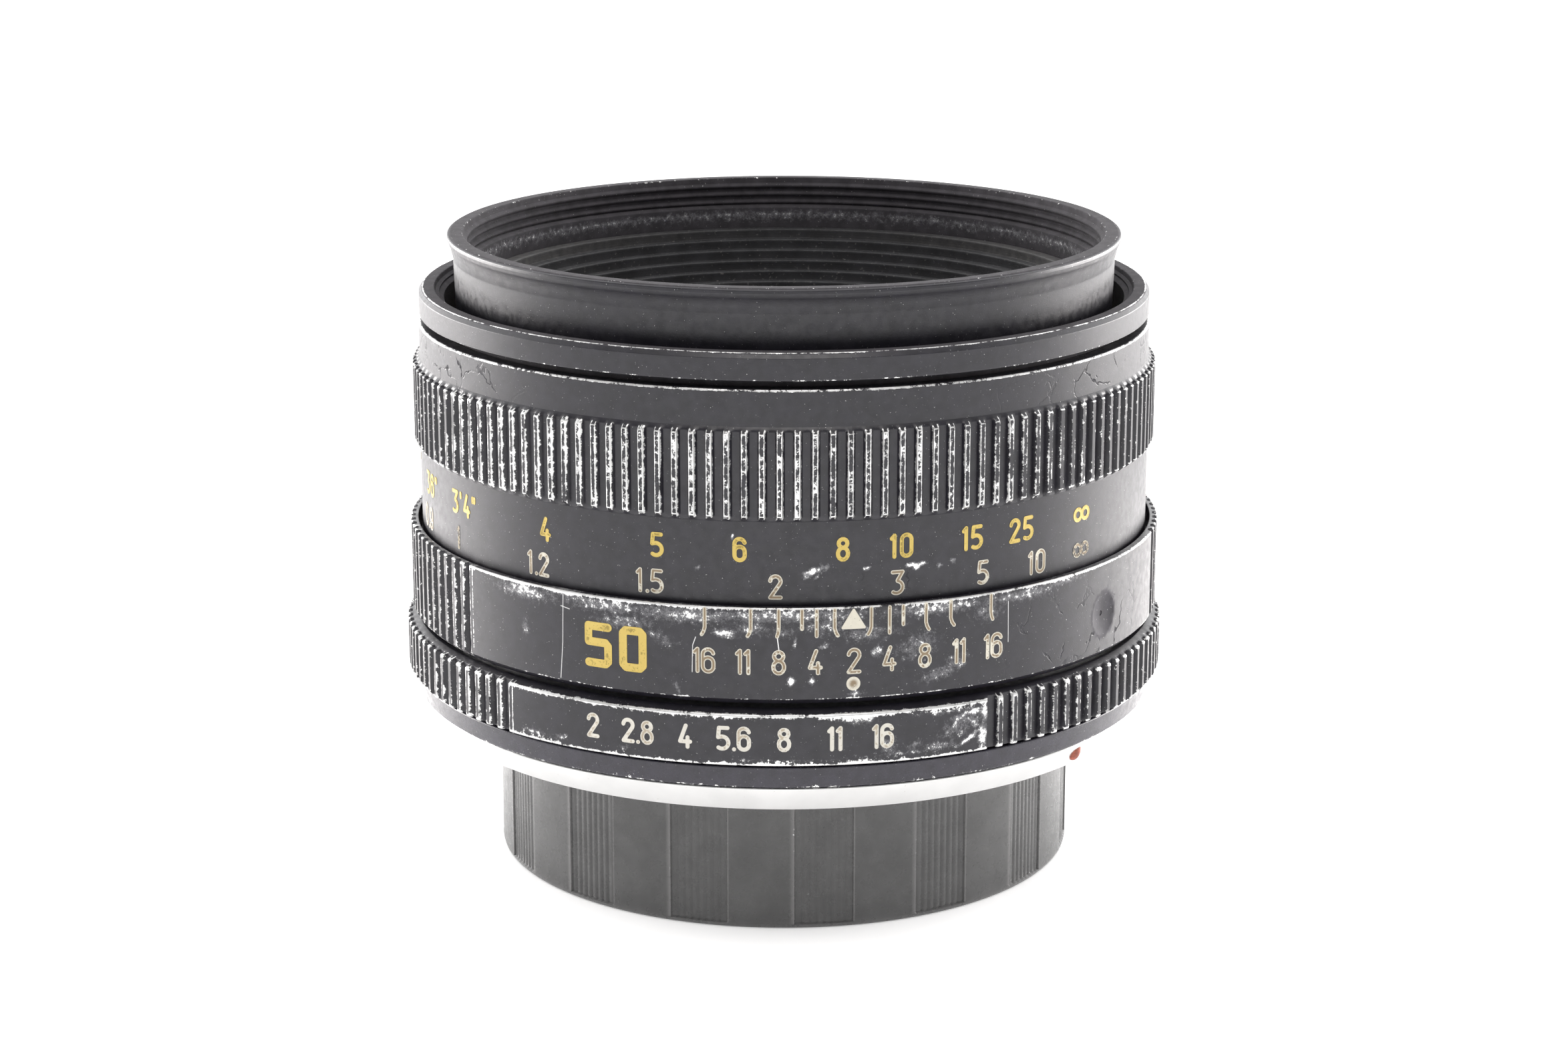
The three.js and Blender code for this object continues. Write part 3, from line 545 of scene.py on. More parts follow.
def metal(name, colour, roughness):
    """Machined or plated metal with faint turned lines and small changes of polish."""
    look = Look(name, Metallic=1.0)
    darker = tuple(0.86 * c for c in colour)
    look.set(Base_Color=look.mix(look.cloud(350, 4), darker, colour))
    look.set(Roughness=look.cloud(1800, 3, roughness * 0.8, roughness * 1.3))
    look.bump(look.plus(look.turned_lines(9000), look.noise(5000, 2)), 0.000003)
    return look.material


def chrome(name):
    """Bright bayonet plating, with fine wipe marks and a few darker pits."""
    look = Look(name, Metallic=1.0)
    cloud = look.cloud(260, 4)
    pits = look.band(look.noise(5200, 2), 0.74, 0.78)
    bright = look.mix(cloud, (0.68, 0.68, 0.675), (0.74, 0.74, 0.735))
    look.set(Base_Color=look.mix(pits, bright, (0.45, 0.44, 0.42)))
    look.set(Roughness=look.band(look.noise(900, 4, stretch=(1, 1, 9)), 0.3, 0.7, 0.14, 0.26))
    look.bump(look.turned_lines(7000), 0.000001)
    return look.material


def cap_plastic(name):
    """Moulded black plastic, glossy, with white nicks on its ribs and a painted highlight along its edges.
    """
    look = Look(name)
    edge, rub = look.attribute("edge"), look.attribute("rub")
    medium, fine = look.noise(2600, 3), look.noise(9000, 2)
    ragged = look.minus(look.plus(medium, look.times(fine, 0.5)), 0.75)
    nicks = look.band(look.plus(look.plus(rub, look.times(edge, 0.35)), ragged), 0.5, 0.62)
    shade = look.cloud(500, 4, 0.068, 0.088)
    dark = look.add("ShaderNodeCombineColor", {0: shade, 1: shade, 2: shade}).outputs[0]
    # painted highlight: the edges of the ribs and rims are painted lighter grey, standing in for light
    # caught on their bevels
    dark = look.mix(look.times(edge, 0.35), dark, (0.4, 0.39, 0.39))
    look.set(Base_Color=look.mix(nicks, dark, (0.62, 0.62, 0.62)))
    look.set(Roughness=look.cloud(1500, 4, 0.24, 0.36))
    look.bump(look.plus(look.noise(1800, 3), look.times(fine, 0.3)), 0.000005)
    return look.material


def paint(name, fresh, worn, amount, gone=0.0):
    """Paint in engraving: cleaner along the rim of each stroke, worn brown or dark along its middle."""
    look = Look(name)
    patch = look.plus(look.noise(700, 2), look.times(look.noise(5200, 3), 0.6))
    middle = look.band(look.attribute("core"), 0.15, 0.75)
    rubbed = look.times(middle, look.band(patch, 0.95 - amount, 1.05 - amount))
    specks = look.band(look.noise(7000, 2), 0.66, 0.74)
    tone = look.mix(look.times(look.noise(3000, 2), 0.5), fresh, tuple(0.78 * c for c in fresh))
    tone = look.mix(rubbed, tone, worn)
    tone = look.mix(look.times(specks, 0.6), tone, tuple(0.35 * c for c in worn))
    if gone:
        lost = look.band(look.noise(4200, 3), 0.5 - 0.2 * gone, 0.62 - 0.2 * gone)
        tone = look.mix(look.times(lost, 0.85), tone, (0.06, 0.055, 0.05))
    look.set(Base_Color=tone, Roughness=look.band(patch, 0.6, 1.0, 0.45, 0.65))
    look.bump(look.noise(6000, 2), 0.00001)
    return look.material


def glass(name, tint):
    """Coated optical glass with a faint smeared haze."""
    look = Look(name, Transmission_Weight=1.0, IOR=1.62)
    smear = look.noise(140, 4, distortion=0.8)
    look.set(Base_Color=look.mix(look.band(smear, 0.35, 0.7), tint, (0.97, 0.97, 0.99)))
    look.set(Roughness=look.band(smear, 0.45, 0.75, 0.005, 0.06))
    look.set(Coat_Weight=0.6, Coat_Roughness=0.03, Coat_IOR=1.7, Coat_Tint=(0.72, 0.66, 0.95))
    return look.material


def glossy(name, colour):
    """A small lacquered piece."""
    look = Look(name)
    tone = look.band(look.noise(2400, 3), 0.35, 0.65)
    look.set(Base_Color=look.mix(tone, colour, tuple(0.55 * c for c in colour)))
    look.set(Roughness=look.cloud(3000, 2, 0.3, 0.5))
    look.bump(look.noise(3500, 2), 0.00003)
    return look.material


MATERIALS = {
    "black_anodised": worn_black("black_anodised"),
    "matt_black": matt_black("matt_black"),
    "chrome": chrome("chrome"),
    "brass": metal("brass", (0.60, 0.44, 0.18), 0.3),
    "aluminium": metal("aluminium", (0.66, 0.66, 0.66), 0.36),
    "steel": metal("steel", (0.50, 0.50, 0.51), 0.28),
    "red_bead": glossy("red_bead", (0.46, 0.11, 0.06)),
    "cap_plastic": cap_plastic("cap_plastic"),
    "coated_glass": glass("coated_glass", (0.90, 0.90, 0.99)),
    "scale_yellow": paint("scale_yellow", (0.70, 0.52, 0.13), (0.36, 0.26, 0.06), 0.1),
    "scale_white": paint("scale_white", (0.78, 0.75, 0.67), (0.48, 0.41, 0.31), 0.14),
}
# painted light: the skirt's copy of the anodised black has twice the base colour, standing in for light from
# the floor below; it is also glossier
SKIRT_LIGHTENED_BLACK = worn_black("skirt_lightened_black", base=0.026, roughness=0.28)
WORN_WHITE = paint("scale_white_worn", (0.76, 0.72, 0.61), (0.28, 0.21, 0.13), 0.3)
FADED_WHITE = paint("scale_white_faded", (0.62, 0.58, 0.46), (0.30, 0.22, 0.13), 0.3, gone=0.3)


# ------------------------ fine versions of the turned pieces

RIB_TOP, RIB_FOOT = 0.28, 0.5  # widths of a rib, as shares of the pitch


def blobs(patches):
    """A paint function: soft patches (angle, height, half width, half height, strength, slant if any)."""

    def rub(angle, height, radius):
        total = np.zeros_like(height)
        for a, z, wide, high, strength, *slant in patches:
            across = np.radians(wrapped(angle - a)) * radius
            up = height - z
            turn = math.radians(sum(slant))
            u = (across * math.cos(turn) + up * math.sin(turn)) / wide
            v = (up * math.cos(turn) - across * math.sin(turn)) / high
            total = np.maximum(total, strength * np.exp(-(u * u + v * v)))
        return total

    return rub


def handled(angle):
    """How far the ribs are worn round a ring: most where the fingers hold it."""
    return 0.45 + 0.55 * np.exp(-((wrapped(angle + 8) / 54) ** 4))


def grooved(floor, inner, low=-math.inf, high=math.inf, kept=0.25):
    """Sinks the groove columns of a ring to the floor radius, further out than inner and from low to high.

    A groove keeps that share of the wear, and the ribs are worn too."""

    def carve(angle, sunk, worn, radius, height, wear):
        ribbed = (radius > inner) & (height > low) & (height < high)
        groove = ribbed & (sunk > 0)
        radius = np.where(groove, np.minimum(radius, floor), radius)
        wear = np.where(groove, kept * wear, wear)
        wear = np.where(ribbed & (sunk == 0), np.maximum(wear, 1.1 * worn * handled(angle)), wear)
        return radius, height, wear

    return carve


def ribbed_sector(smooth_from, smooth_to, count):
    """Columns of a ring that is smooth from one angle to another and ribbed round the rest."""
    smooth = plain_columns(smooth_from, smooth_to, PAINTED_STEP)
    return smooth + rib_columns(smooth_to, smooth_from + 360, count, RIB_TOP, RIB_FOOT)


# rear cap

cap_radius, cap_low, cap_top = span("rear_cap")
CAP_INNER, CAP_FLOOR = 23.7, 3.0
CAP_GROUPS, CAP_RIBS = 15, 8  # groups of ribs, and ribs in each
CAP_FIRST, CAP_RIB_PITCH = 7.6, 1.4  # degrees
CAP_RECESS, CAP_GROOVE, CAP_SKIN = 0.15, 0.07, (0.42, 11.9)  # depths, and how high the ribs reach
CAP_LUGS = {"inner": 22.7, "low": 9.7, "high": 11.4, "width": 44, "middles": (180, 300, 60)}
cap_rows = rounded([
    (0, cap_low), (cap_radius, cap_low, 0.4, 0.2), (cap_radius, cap_top, 0.25, 0.5),
    (CAP_INNER, cap_top, 0.2, 0.2), (CAP_INNER, CAP_LUGS["high"] + 0.01), (CAP_INNER, CAP_LUGS["high"]),
    (CAP_INNER, CAP_LUGS["low"]), (CAP_INNER, CAP_LUGS["low"] - 0.01), (CAP_INNER, CAP_FLOOR, 0.4, 0),
    (0, CAP_FLOOR),
], closed=False)
cap_rows = divided(cap_rows, 1.0, closed=False)

cap_columns = []
for group in range(CAP_GROUPS):
    middle = CAP_FIRST + 360 / CAP_GROUPS * group
    for rib in range(CAP_RIBS):
        at = middle + (rib - (CAP_RIBS - 1) / 2) * CAP_RIB_PITCH
        if rib == 0:
            # the group edges are worn, and the cap's material also paints them with a highlight
            cap_columns.append((at - 0.56 * CAP_RIB_PITCH, 0, 1.0))
        for offset in (-0.45, -0.25, 0.25, 0.45):
            groove = abs(offset) > 0.3 and 0 < rib + (offset > 0) < CAP_RIBS
            cap_columns.append((at + offset * CAP_RIB_PITCH, 2 if groove else 1, 0.0))
    end = at + 0.56 * CAP_RIB_PITCH
    cap_columns.append((end, 0, 1.0))
    next_group = middle + 360 / CAP_GROUPS - CAP_RIBS / 2 * CAP_RIB_PITCH
    cap_columns += plain_columns(end + 0.3, next_group - 0.2, 0.8)


def carve_cap(angle, sunk, worn, radius, height, wear):
    outside = (radius > CAP_INNER + 0.5) & (height > CAP_SKIN[0]) & (height < CAP_SKIN[1])
    radius = np.where(outside & (sunk >= 1), cap_radius - CAP_RECESS, radius)
    radius = np.where(outside & (sunk == 2), cap_radius - CAP_RECESS - CAP_GROOVE, radius)
    wear = np.where(outside, np.maximum(wear, worn), wear)
    lug = in_sectors(angle, CAP_LUGS["middles"], CAP_LUGS["width"])
    within = (height >= CAP_LUGS["low"] - 0.001) & (height <= CAP_LUGS["high"] + 0.001)
    inside = np.abs(radius - CAP_INNER) < 0.01
    return np.where(lug & within & inside, CAP_LUGS["inner"], radius), height, wear


CAP_NICKS = blobs([
    (2.5, 8.2, 0.3, 0.25, 0.75), (3.2, 5.2, 0.2, 0.3, 0.6, 30), (4.4, 7.6, 0.15, 0.3, 0.6),
    (4.6, 3.0, 0.2, 0.2, 0.6), (-4, 2.2, 0.2, 0.15, 0.5),
])
cap = lathe("rear_cap_moulding", cap_rows, cap_columns, carve_cap, CAP_NICKS)
place(cap, "rear_cap", "cap_plastic", "rear_cap")

# bayonet flange

flange_radius, flange_rear, flange_front = span("bayonet_flange")
THROAT_INNER, THROAT_OUTER = 20.8, 22.3
FLANGE_SEAT, SEAT_RADIUS = 12.4, 30.6
WINGS = {"radius": 23.5, "high": 9.4, "width": 60, "middles": (120, 240, 0)}
flange_rows = divided(rounded([
    (THROAT_INNER, flange_rear, 0.15, 0), (THROAT_OUTER, flange_rear, 0.1, 0),
    (THROAT_OUTER, WINGS["high"]), (THROAT_OUTER, WINGS["high"] + 0.01), (THROAT_OUTER, FLANGE_SEAT),
    (SEAT_RADIUS, FLANGE_SEAT, 0.12, 0), (flange_radius, flange_front, 0.12, 0),
    (THROAT_INNER, flange_front),
]), 1.2)


def carve_flange(angle, sunk, worn, radius, height, wear):
    wing = in_sectors(angle, WINGS["middles"], WINGS["width"])
    at_wing = wing & (height <= WINGS["high"] + 0.001) & (radius > THROAT_OUTER - 0.05)
    return np.where(at_wing, WINGS["radius"] + radius - THROAT_OUTER, radius), height, wear


flange = lathe("bayonet_flange_turned", flange_rows, plain_columns(step=0.75), carve_flange)
SCREW_RING, SCREW_HEAD, SCREW_SHANK, SCREW_SEAT = 27.6, 1.25, 0.75, 13.6
holes = []
for quarter in range(4):
    turn = math.radians(60 + 90 * quarter)
    x, y = SCREW_RING * math.cos(turn) * MM, SCREW_RING * math.sin(turn) * MM
    holes.append(rod(SCREW_HEAD, (x, y, 0.011), (x, y, SCREW_SEAT * MM)))
    holes.append(rod(SCREW_SHANK, (x, y, 0.013), (x, y, 0.016)))
cut(flange, holes)
place(flange, "lens_barrel", "chrome", "bayonet_flange")

low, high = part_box("mount_index_bead")
bead_radius = (high.z - low.z) / 2
BEAD_STRETCH = 1.55
bead_middle = (low + high) / 2 + Vector((0, 0, (BEAD_STRETCH - 1) * bead_radius))
bpy.ops.mesh.primitive_uv_sphere_add(segments=32, ring_count=16, radius=bead_radius, location=bead_middle,
                                     scale=(1, 1, BEAD_STRETCH))
bead = bpy.context.object
bead.name = "red_mounting_bead"
bead.data.shade_smooth()
bead.data.transform(bead.matrix_world)
bead.matrix_world.identity()
place(bead, "lens_barrel", "red_bead", "mount_index_bead")

# black rings below the focusing ring

skirt_radius, skirt_low, skirt_high = span("rear_skirt")
skirt_rows = divided(rounded([
    (29.8, skirt_low), (32.1, skirt_low, 0.12, 0.55), (skirt_radius, skirt_high, 0.12, 0.3),
    (29.8, skirt_high),
]), 0.5)
skirt = lathe("rear_skirt_turned", skirt_rows, plain_columns(step=FINE_STEP))
# the skirt takes the lighter copy of the black, a painted light
place(skirt, "lens_barrel", "black_anodised", "rear_skirt", material=SKIRT_LIGHTENED_BLACK)

stop_radius, stop_low, stop_high = span("aperture_ring")
STOP_SMOOTH, STOP_RIBS, STOP_GROOVE = (-41.8, 30.0), 113, 0.42
CONE_INNER, CONE_OUTER, CONE_HIGH = 31.75, 32.05, 0.38  # the cone that covers the gap above the ring
STOP_RUBS = blobs([
    (26, 19.4, 2.6, 0.9, 0.46, 20), (22, 17.8, 1.8, 0.35, 0.55), (28.9, 18.2, 0.45, 1.0, 0.95),
    (14.5, 18.3, 0.9, 0.7, 0.52), (27, 18.2, 1.5, 0.22, 0.85, 30), (26.5, 20.2, 1.7, 0.2, 0.9, 12),
    (29.2, 20.0, 0.3, 0.7, 1.1), (24, 19.2, 1.3, 0.14, 0.8, 40), (27.6, 19.3, 0.5, 0.3, 0.8, -30),
    (10.5, 20.6, 1.6, 0.45, 0.62), (18.5, 18.2, 0.8, 0.3, 0.6, 20), (-33, 17.6, 0.9, 0.35, 0.5, 15),
    (9, 20.7, 3.0, 0.25, 0.4), (24, 20.6, 3.5, 0.3, 0.45), (17, 17.5, 4.0, 0.25, 0.4),
    (-22.5, 17.6, 0.6, 0.3, 0.45), (-38, 17.5, 2.0, 0.3, 0.42), (-10, 20.75, 5.0, 0.22, 0.3),
    (0, 17.3, 6.0, 0.2, 0.34),
])
stop_rows = divided(rounded([
    (29.6, stop_low), (stop_radius, stop_low, 0.15, 0.95), (stop_radius, stop_high, 0.15, 0.95),
    (CONE_OUTER, stop_high + CONE_HIGH, 0.05, 0), (CONE_INNER, stop_high + CONE_HIGH),
    (CONE_INNER, stop_high), (29.6, stop_high),
], fade=0.9), 0.3)
aperture_ring = lathe("aperture_ring_knurled", stop_rows, ribbed_sector(*STOP_SMOOTH, STOP_RIBS),
                      grooved(stop_radius - STOP_GROOVE, 32.4), STOP_RUBS)
place(aperture_ring, "aperture_group", "black_anodised", "aperture_ring")

depth_radius, depth_low, depth_high = span("depth_scale_ring")
DEPTH_SMOOTH, DEPTH_RIBS, DEPTH_GROOVE = (-51.6, 74.7), 90, 0.4
DEPTH_LIP, DEPTH_WEB = 31.85, 27.75  # radius inside the upper lip, and height of the web under it
DEPTH_RUBS = blobs([
    (-40, 29.0, 3.6, 0.7, 0.62), (-26, 29.1, 4.2, 0.7, 0.62), (-14, 29.0, 4.5, 0.8, 0.62),
    (-23, 27.9, 3.0, 0.7, 0.5), (0, 29.1, 8.0, 0.55, 0.62), (22, 29.1, 5.0, 0.6, 0.62),
    (36, 29.1, 4.5, 0.5, 0.54), (44, 29.4, 3.0, 0.35, 0.5), (-18, 27.0, 2.2, 0.6, 0.42, -20),
    (6, 28.2, 2.6, 0.7, 0.45), (-8.3, 27.6, 0.85, 0.3, 1.1, -5), (5.5, 26.6, 0.4, 0.22, 0.95),
    (9.9, 22.6, 0.4, 0.3, 0.8), (13, 26.0, 0.6, 0.45, 0.7, 20), (1.5, 26.9, 0.14, 0.5, 0.85, -10),
    (0, 27.7, 1.3, 0.6, 0.45), (1.0, 23.75, 0.3, 0.3, 1.4), (3.9, 23.75, 0.24, 0.3, 1.2),
    (22, 23.6, 2.0, 0.55, 0.5, 12), (25, 24.5, 1.2, 0.7, 0.5), (-15, 22.7, 0.25, 0.8, 0.6, 25),
    (-40, 26, 0.5, 0.8, 0.5), (10, 22.6, 0.9, 0.2, 0.5), (19, 26.2, 2.2, 1.2, 0.45, 20),
    (12, 27.6, 3.0, 0.8, 0.45), (-4.5, 28.0, 1.6, 0.7, 0.48), (-33, 29.6, 2.0, 0.3, 0.8),
    (30, 28.2, 1.6, 0.9, 0.45),
])
DEPTH_CRACKS = blobs([(44, 25, 4.5, 2.5, 1.0), (56, 24, 4.0, 2.5, 1.0)])
depth_rows = divided(rounded([
    (29.5, depth_low), (31.7, depth_low), (31.7, depth_low - 0.45),
    (32.05, depth_low - 0.45, 0.08, 0), (depth_radius, depth_low, 0.08, 0.6),
    (depth_radius, depth_high, 0.1, 0.85), (DEPTH_LIP, depth_high, 0.08, 0.3), (DEPTH_LIP, DEPTH_WEB),
    (29.5, DEPTH_WEB),
], fade=0.45), 0.28, inner=31.75)
depth_ring = lathe("depth_scale_ring_knurled", depth_rows, ribbed_sector(*DEPTH_SMOOTH, DEPTH_RIBS),
                   grooved(depth_radius - DEPTH_GROOVE, 31.9), DEPTH_RUBS, crazed=DEPTH_CRACKS)

# the round dimple: a shallow dish, matt inside and painted lighter as painted soft light, with a turner's
# centre mark
DIMPLE_AT, DIMPLE_HEIGHT, DIMPLE_RADIUS, DIMPLE_DEPTH = math.radians(54.3), 25.4, 1.85, 0.32


def beside_dimple(radius):
    return (radius * math.sin(DIMPLE_AT) * MM, -radius * math.cos(DIMPLE_AT) * MM, DIMPLE_HEIGHT * MM)


dish_radius = (DIMPLE_RADIUS**2 + DIMPLE_DEPTH**2) / (2 * DIMPLE_DEPTH)
dish_middle = beside_dimple(depth_radius - DIMPLE_DEPTH + dish_radius)
bpy.ops.mesh.primitive_uv_sphere_add(segments=128, ring_count=64, radius=dish_radius * MM,
                                     location=dish_middle)
dish = bpy.context.object
centre_mark = rod(0.22, beside_dimple(depth_radius - DIMPLE_DEPTH - 0.05), beside_dimple(depth_radius + 1))
cut(depth_ring, [dish, centre_mark])
reach = (dish_radius + 0.08) * MM
dished = depth_ring.data
in_dish = np.array([(vertex.co - Vector(dish_middle)).length < reach for vertex in dished.vertices])
# painted light: the matt attribute inside the dish also lightens its colour, standing in for soft light
# falling into it
put_attribute(dished, "matt", 0.6 * in_dish)
for state in ("edge", "rub", "crazed"):
    values = np.empty(len(in_dish), np.float32)
    dished.attributes[state].data.foreach_get("value", values)
    dished.attributes[state].data.foreach_set("value", np.where(in_dish, 0, values))
place(depth_ring, "lens_barrel", "black_anodised", "depth_scale_ring")

# focusing ring and the ring above it

focus_radius, focus_low, focus_high = span("focus_ring")
SCALE_RADIUS, BAND_RADIUS = 31.5, 31.4
GRIP_LOW, GRIP_HIGH, GRIP_FLOOR = 36.58, 43.92, 31.62
GRIP_RIBS, GRIP_SLOPE = 144, 0.38
FOCUS_RUBS = blobs([
    (3.2, 32.15, 0.3, 0.25, 1.1), (4.1, 32.45, 0.35, 0.28, 1.2, 30), (5.1, 32.7, 0.5, 0.16, 1.2, 10),
    (6.1, 32.75, 0.25, 0.2, 1.0), (4.7, 32.1, 0.18, 0.16, 1.0), (4.6, 32.5, 1.4, 0.4, 0.4, 12),
    (18.6, 32.55, 0.5, 0.14, 1.1), (20.0, 32.6, 0.6, 0.12, 1.1, -8), (19.4, 32.3, 0.25, 0.16, 1.0),
    (23.0, 32.3, 0.2, 0.25, 1.0), (25.2, 32.5, 0.35, 0.2, 0.9), (12, 32.6, 0.3, 0.14, 0.9),
    (-12.5, 32.5, 0.2, 0.14, 1.0), (-7.3, 35.2, 0.12, 0.22, 1.0), (-68, 46.5, 1.2, 0.3, 0.4),
])
FOCUS_CRACKS = blobs([
    (-62, 45.6, 7.0, 1.4, 1.0), (-50, 45.4, 3.0, 0.9, 0.7), (60, 45.5, 8.0, 1.4, 1.0),
    (38, 45, 3.0, 0.8, 0.5), (130, 45.5, 9.0, 1.2, 1.0), (-140, 45.5, 9.0, 1.2, 1.0),
    (16, 31.5, 3.0, 0.8, 0.5),
])
focus_rows = divided(rounded([
    (29.45, focus_low), (SCALE_RADIUS, focus_low, 0.1, 0), (SCALE_RADIUS, GRIP_LOW - 0.12),
    (31.6, GRIP_LOW, 0, 0.3), (focus_radius, GRIP_LOW + GRIP_SLOPE, 0.08, 1.0),
    (focus_radius, GRIP_HIGH - GRIP_SLOPE, 0.08, 1.0), (BAND_RADIUS + 0.1, GRIP_HIGH, 0, 0.2),
    (BAND_RADIUS, GRIP_HIGH + 0.12), (BAND_RADIUS, focus_high, 0.14, 0.8), (30.2, focus_high),
    (30.2, 44.9), (29.45, 44.9),
], fade=0.35), 0.3, inner=31.2, top=GRIP_LOW)
focus_columns = rib_columns(-180, 180, GRIP_RIBS, RIB_TOP, RIB_FOOT, crown=0.54)
focus_ring = lathe("focus_ring_knurled", focus_rows, focus_columns,
                   grooved(GRIP_FLOOR, 31, GRIP_LOW, GRIP_HIGH, kept=0.1), FOCUS_RUBS, crazed=FOCUS_CRACKS)
place(focus_ring, "focus_group", "black_anodised", "focus_ring")

outer_radius, outer_low, outer_high = span("front_outer_ring")
OUTER_FOOT = 47.65  # where the ring widens over the focusing ring


# the inside of the ring is matt and, as painted light, lighter in colour, standing in for light falling in
# from the front
def matt_and_lit_inside(angle, height, radius):
    return np.where(radius < 31.1, 1.0, 0.0)


outer_rows = divided(rounded([
    (29.2, outer_low), (29.95, outer_low), (29.95, OUTER_FOOT),
    (outer_radius, OUTER_FOOT, 0.1, 0.5), (outer_radius, outer_high - 0.4, 0.06, 0.25),
    (outer_radius - 0.35, outer_high, 0.08, 0.85), (30.0, outer_high, 0.08, 0.35), (29.9, 49.5),
    (29.6, 49.35, 0, 0.1), (29.6, 49.2), (29.35, 49.05, 0, 0.1), (29.2, 48.95),
], fade=0.3), 0.5)
outer_ring = lathe("front_outer_ring_turned", outer_rows, plain_columns(step=FINE_STEP), matt=matt_and_lit_inside)
place(outer_ring, "focus_group", "black_anodised", "front_outer_ring")

# front barrel, baffle and glass

front_radius, front_low, front_high = span("front_barrel")
THREAD_PITCH, THREAD_TURNS, THREAD_BORE, THREAD_CREST = 0.75, 3, 27.4, 27.12
thread_rows = []
for turn_of_thread in range(THREAD_TURNS):
    at = front_high - 0.7 - THREAD_PITCH * turn_of_thread
    thread_rows += [(THREAD_BORE, at + 0.22), (THREAD_CREST, at, 0.05, 0.1),
                    (THREAD_CREST, at - 0.12, 0.05, 0), (THREAD_BORE, at - 0.34)]


def barrel_dust(angle, height, radius):
    return np.where(radius < 27, 0.5, 0.0) * np.exp(-(((height - 51.0) / 0.5) ** 2))


def matt_and_lit_mouth(angle, height, radius):
    """The lip and the inside are matt and painted lighter, standing in for light falling on them, and the
    tube is not.
    """
    return np.where((radius < 28.75) & ((height > 53.8) | (radius < 27.45)), 1.0, 0.0)


front_rows = divided(rounded([
    (19.4, front_low), (27.15, front_low), (27.15, 46.2), (28.15, 46.2, 0.1, 0),
    (28.33, 52.3, 1.0, 0), (28.62, 53.5), (28.7, 53.62, 0, 0.1), (front_radius, 54.0, 0.2, 0.1),
    (front_radius - 0.02, front_high - 0.15, 0.08, 0.2), (front_radius - 0.3, front_high, 0.12, 0.45),
    (27.5, front_high, 0.1, 0.45), *thread_rows, (THREAD_BORE, 52.0), (26.7, 51.75, 0.1, 0),
    (26.7, 45.0), (24.7, 43.0), (19.4, 43.0),
], fade=0.3), 0.6)
front_barrel = lathe("front_barrel_turned", front_rows, plain_columns(step=FINE_STEP), rub=barrel_dust,
                     matt=matt_and_lit_mouth)
place(front_barrel, "optical_unit", "black_anodised", "front_barrel")

BAFFLE_STEPS, BAFFLE_TOP, BAFFLE_RADIUS = 10, 49.9, 26.3
STEP_IN, STEP_DOWN = 0.86, 0.83
baffle_corners = []
for step in range(BAFFLE_STEPS):
    r, z = BAFFLE_RADIUS - STEP_IN * step, BAFFLE_TOP - STEP_DOWN * step
    baffle_corners += [(r, z, 0.05 if step else 0, 0), (r - STEP_IN, z, 0.12, 0.3)]
foot = BAFFLE_TOP - STEP_DOWN * BAFFLE_STEPS
baffle_corners += [(BAFFLE_RADIUS - STEP_IN * BAFFLE_STEPS, foot), (18.9, foot), (18.9, 42.6),
                   (19.6, 43.3), (26.5, 49.0), (26.5, BAFFLE_TOP)]


def dusty(angle, height, radius):
    return np.where(radius > 25.4, 0.9, 0.15) * (0.6 + 0.4 * np.cos(np.radians(angle * 3)))


baffle = lathe("stepped_baffle_turned", rounded(baffle_corners), rub=dusty)
place(baffle, "optical_unit", "matt_black", "stepped_baffle")

# front and rear vertex, radii of the two curves, where each ends, and the rim
ELEMENTS = {
    "lens_element_1_front": (39.0, 34.8, 34, 150, 15.6, 15.6, 15.6),
    "lens_element_2": (34.4, 30.4, 21, 38, 13.2, 13.2, 13.2),
    "lens_element_3": (29.3, 27.7, 45, 15.5, 12.0, 10.2, 12.0),
    "lens_element_4": (16.8, 15.4, -16, 80, 9.6, 11.8, 11.8),
    "lens_element_5": (15.3, 10.4, 80, -22, 11.8, 11.8, 11.8),
    "lens_element_6_rear": (9.9, 6.3, 80, -45, 12.2, 12.2, 12.2),
}


def surface(vertex, curve, clear, steps=24):
    size = abs(curve)
    radii = [clear * i / steps for i in range(steps + 1)]
    return [(r, vertex - math.copysign(size - math.sqrt(size * size - r * r), curve), 0) for r in radii]


for node, (front, rear, curve_1, curve_2, clear_1, clear_2, rim) in ELEMENTS.items():
    upper, lower = surface(front, curve_1, clear_1), surface(rear, curve_2, clear_2)[::-1]
    corners = ((clear_1, upper[-1]), (clear_2, lower[0]))
    shoulders = [(rim, edge[1], 0) for clear, edge in corners if clear < rim]
    outline = upper + shoulders + lower
    piece = lathe(node.replace("lens_element", "glass"), outline, plain_columns(step=3), sharp=30)
    place(piece, "optical_unit", "coated_glass", node)

# ------------------------ scales

FOCAL_LENGTH, FRONT_NODE, LEAD, INFINITY_AT = 49.79, 106.5, 9.18, 50.15
FOOT, INCH, METRE = 304.8, 25.4, 1000.0


def focus_angle(distance):
    """Angle on the focusing scale of a subject distance in millimetres, from the helicoid's travel."""
    travel = 0.0
    for _ in range(6):
        travel = FOCAL_LENGTH**2 / (distance - FRONT_NODE - travel)
    return INFINITY_AT - 360 / LEAD * travel


STROKE = 0.163
FEET = {text: float(text) * FOOT for text in ("25", "15", "10", "8", "6", "5", "4")}
FEET |= {"3'4\"": 40 * INCH, "36\"": 36 * INCH, "2'8\"": 32 * INCH, "2'6\"": 30 * INCH,
         "2'2\"": 26 * INCH, "2'": 24 * INCH, "20\"": 20 * INCH}
METRES = ("10", "5", "3", "2", "1.5", "1.2", "0.9", "0.8", "0.7", "0.6", "0.5")
FEET_ROW, METRE_ROW, INFINITY_MARK = 33.18, 30.19, 50.4


def distance_mark(distance, row, text, gap=0.28):
    angle = focus_angle(distance) if distance else INFINITY_MARK
    return angle, row, written(text, 2.05, STROKE, gap)


